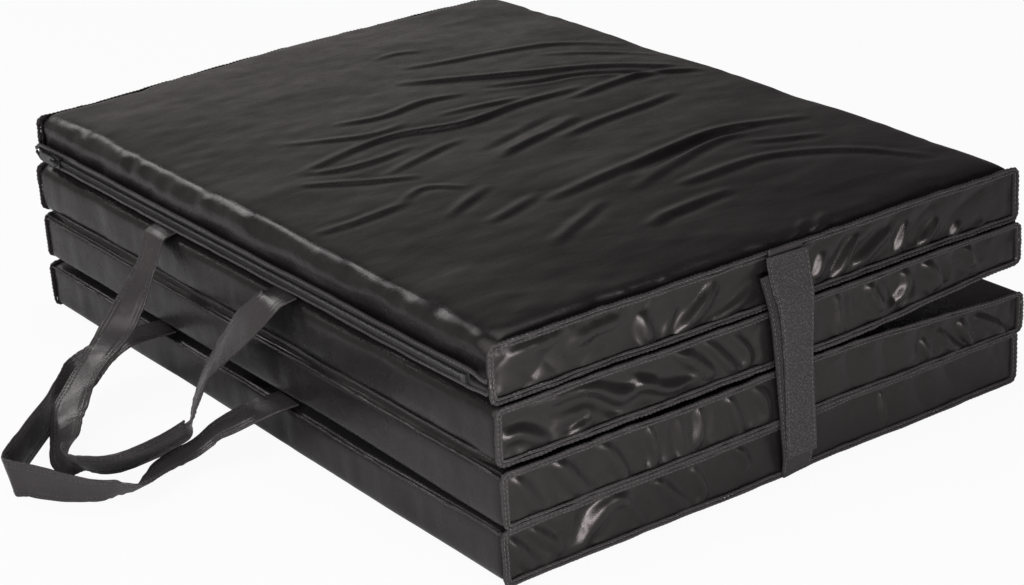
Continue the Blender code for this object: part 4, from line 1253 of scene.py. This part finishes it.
class MAT_OT_stage(bpy.types.Operator):
    """Makes the floor, the studio light and the camera"""

    bl_idname = "mat.stage"
    bl_label = "Make stage"

    def execute(self, context):
        self.make_floor(context)
        self.make_world(context)
        self.make_lamps(context)
        self.make_camera(context)
        context.scene.view_settings.view_transform = "Standard"
        return {"FINISHED"}

    def make_floor(self, context):
        """Matt studio floor. It is drawn white to the camera with a trace of shadow, and lights
        what mirrors it only a little."""
        select_alone(None)
        bpy.ops.mesh.primitive_plane_add(size=40)
        floor = name_piece("floor")
        made, tree, shader = new_material("matt_studio_floor", roughness=0.9)
        shader.inputs["Base Color"].default_value = context.scene.mat_colours.floor
        rays = add_node(tree, "ShaderNodeLightPath").outputs
        mirrored = add_maths(tree, "MAXIMUM", rays["Is Glossy Ray"], rays["Is Transmission Ray"])
        mirrored = add_maths(tree, "MULTIPLY", mirrored, 0.06)
        seen = add_maths(tree, "MULTIPLY", rays["Is Camera Ray"], 0.94)
        share = add_maths(tree, "MAXIMUM", mirrored, seen)
        white = add_node(tree, "ShaderNodeEmission", None, {"Color": (1, 1, 1, 1), "Strength": 1.0})
        both = {"Fac": share, 1: shader.outputs[0], 2: white.outputs[0]}
        mixed = add_node(tree, "ShaderNodeMixShader", None, both).outputs[0]
        tree.links.new(mixed, tree.nodes["Material Output"].inputs["Surface"])
        floor.data.materials.append(made)

    def make_world(self, context):
        """A pale wall behind the mat on the left, going over to a dim studio above and to the
        right. The camera sees it white wherever the floor ends."""
        world = bpy.data.worlds.new("studio")
        context.scene.world = world
        world.use_nodes = True
        tree = world.node_tree
        back = tree.nodes["Background"]
        back.inputs["Color"].default_value = linear("#FFF5F5")
        smooth = {"interpolation_type": "SMOOTHSTEP"}
        way = add_node(tree, "ShaderNodeTexCoord").outputs["Generated"]
        height = add_node(tree, "ShaderNodeSeparateXYZ", None, {"Vector": way}).outputs["Z"]
        to_left = {0: way, 1: (-0.817, 0.576, 0.0)}
        left = add_node(tree, "ShaderNodeVectorMath", {"operation": "DOT_PRODUCT"}, to_left)
        wall = add_range(tree, height, 0.34, 0.66, 0.38, 0.08, **smooth)
        side = add_range(tree, left.outputs["Value"], -0.24, 0.12, 0.22, 1.0, **smooth)
        strength = add_maths(tree, "MULTIPLY", wall, side)
        rays = add_node(tree, "ShaderNodeLightPath").outputs
        seen = add_maths(tree, "MAXIMUM", strength, rays["Is Camera Ray"])
        tree.links.new(seen, back.inputs["Strength"])

    def make_lamps(self, context):
        """Soft boxes to the left, low in front, behind on the left, and above."""
        for name, (place, size, power, aim) in LAMPS.items():
            light = bpy.data.lights.new(name, "AREA")
            light.shape = "RECTANGLE"
            light.size, light.size_y = size
            light.energy = power
            lamp = bpy.data.objects.new(name, light)
            context.scene.collection.objects.link(lamp)
            lamp.location = place
            way = Vector(aim) - Vector(place)
            lamp.rotation_euler = way.to_track_quat("-Z", "Y").to_euler()
            lamp.visible_camera = False

    def make_camera(self, context):
        """The photograph's camera."""
        angles = (CAMERA_AZIMUTH, CAMERA_ELEVATION, CAMERA_ROLL)
        azimuth, elevation, roll = (math.radians(angle) for angle in angles)
        level = math.cos(elevation)
        back = (math.sin(azimuth) * level, -math.cos(azimuth) * level, math.sin(elevation))
        back = Vector(back)
        right = Vector((math.cos(azimuth), math.sin(azimuth), 0))
        up = back.cross(right)
        turned_right = math.cos(roll) * right + math.sin(roll) * up
        turned_up = -math.sin(roll) * right + math.cos(roll) * up
        lens = bpy.data.cameras.new("camera")
        lens.sensor_width = 36
        lens.lens = CAMERA_LENS
        camera = bpy.data.objects.new("camera", lens)
        context.scene.collection.objects.link(camera)
        turn = Matrix((turned_right, turned_up, back)).transposed().to_4x4()
        camera.matrix_world = Matrix.Translation(CAMERA_PLACE) @ turn
        context.scene.camera = camera


class MAT_PT_panel(bpy.types.Panel):
    bl_label = "Folding mat"
    bl_space_type = "VIEW_3D"
    bl_region_type = "UI"
    bl_category = "Folding mat"

    def draw(self, context):
        for group in (context.scene.mat_sizes, context.scene.mat_colours):
            for key in group.__annotations__:
                self.layout.prop(group, key)
        for operator in OPERATORS:
            self.layout.operator(operator.bl_idname)


OPERATORS = (
    MAT_OT_stage,
    MAT_OT_panels,
    MAT_OT_ends,
    MAT_OT_folds,
    MAT_OT_handles,
    MAT_OT_straps,
    MAT_OT_zip,
)
CLASSES = (MatSizes, MatColours, *OPERATORS, MAT_PT_panel)


def register():
    for entry in CLASSES:
        bpy.utils.register_class(entry)
    bpy.types.Scene.mat_sizes = bpy.props.PointerProperty(type=MatSizes)
    bpy.types.Scene.mat_colours = bpy.props.PointerProperty(type=MatColours)


def unregister():
    del bpy.types.Scene.mat_colours
    del bpy.types.Scene.mat_sizes
    for entry in reversed(CLASSES):
        bpy.utils.unregister_class(entry)


def main():
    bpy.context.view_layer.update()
    register()
    bpy.ops.mat.stage()
    bpy.ops.mat.panels()
    bpy.ops.mat.ends()
    bpy.ops.mat.folds()
    bpy.ops.mat.handles()
    bpy.ops.mat.straps()
    bpy.ops.mat.zip()


if __name__ == "__main__":
    main()
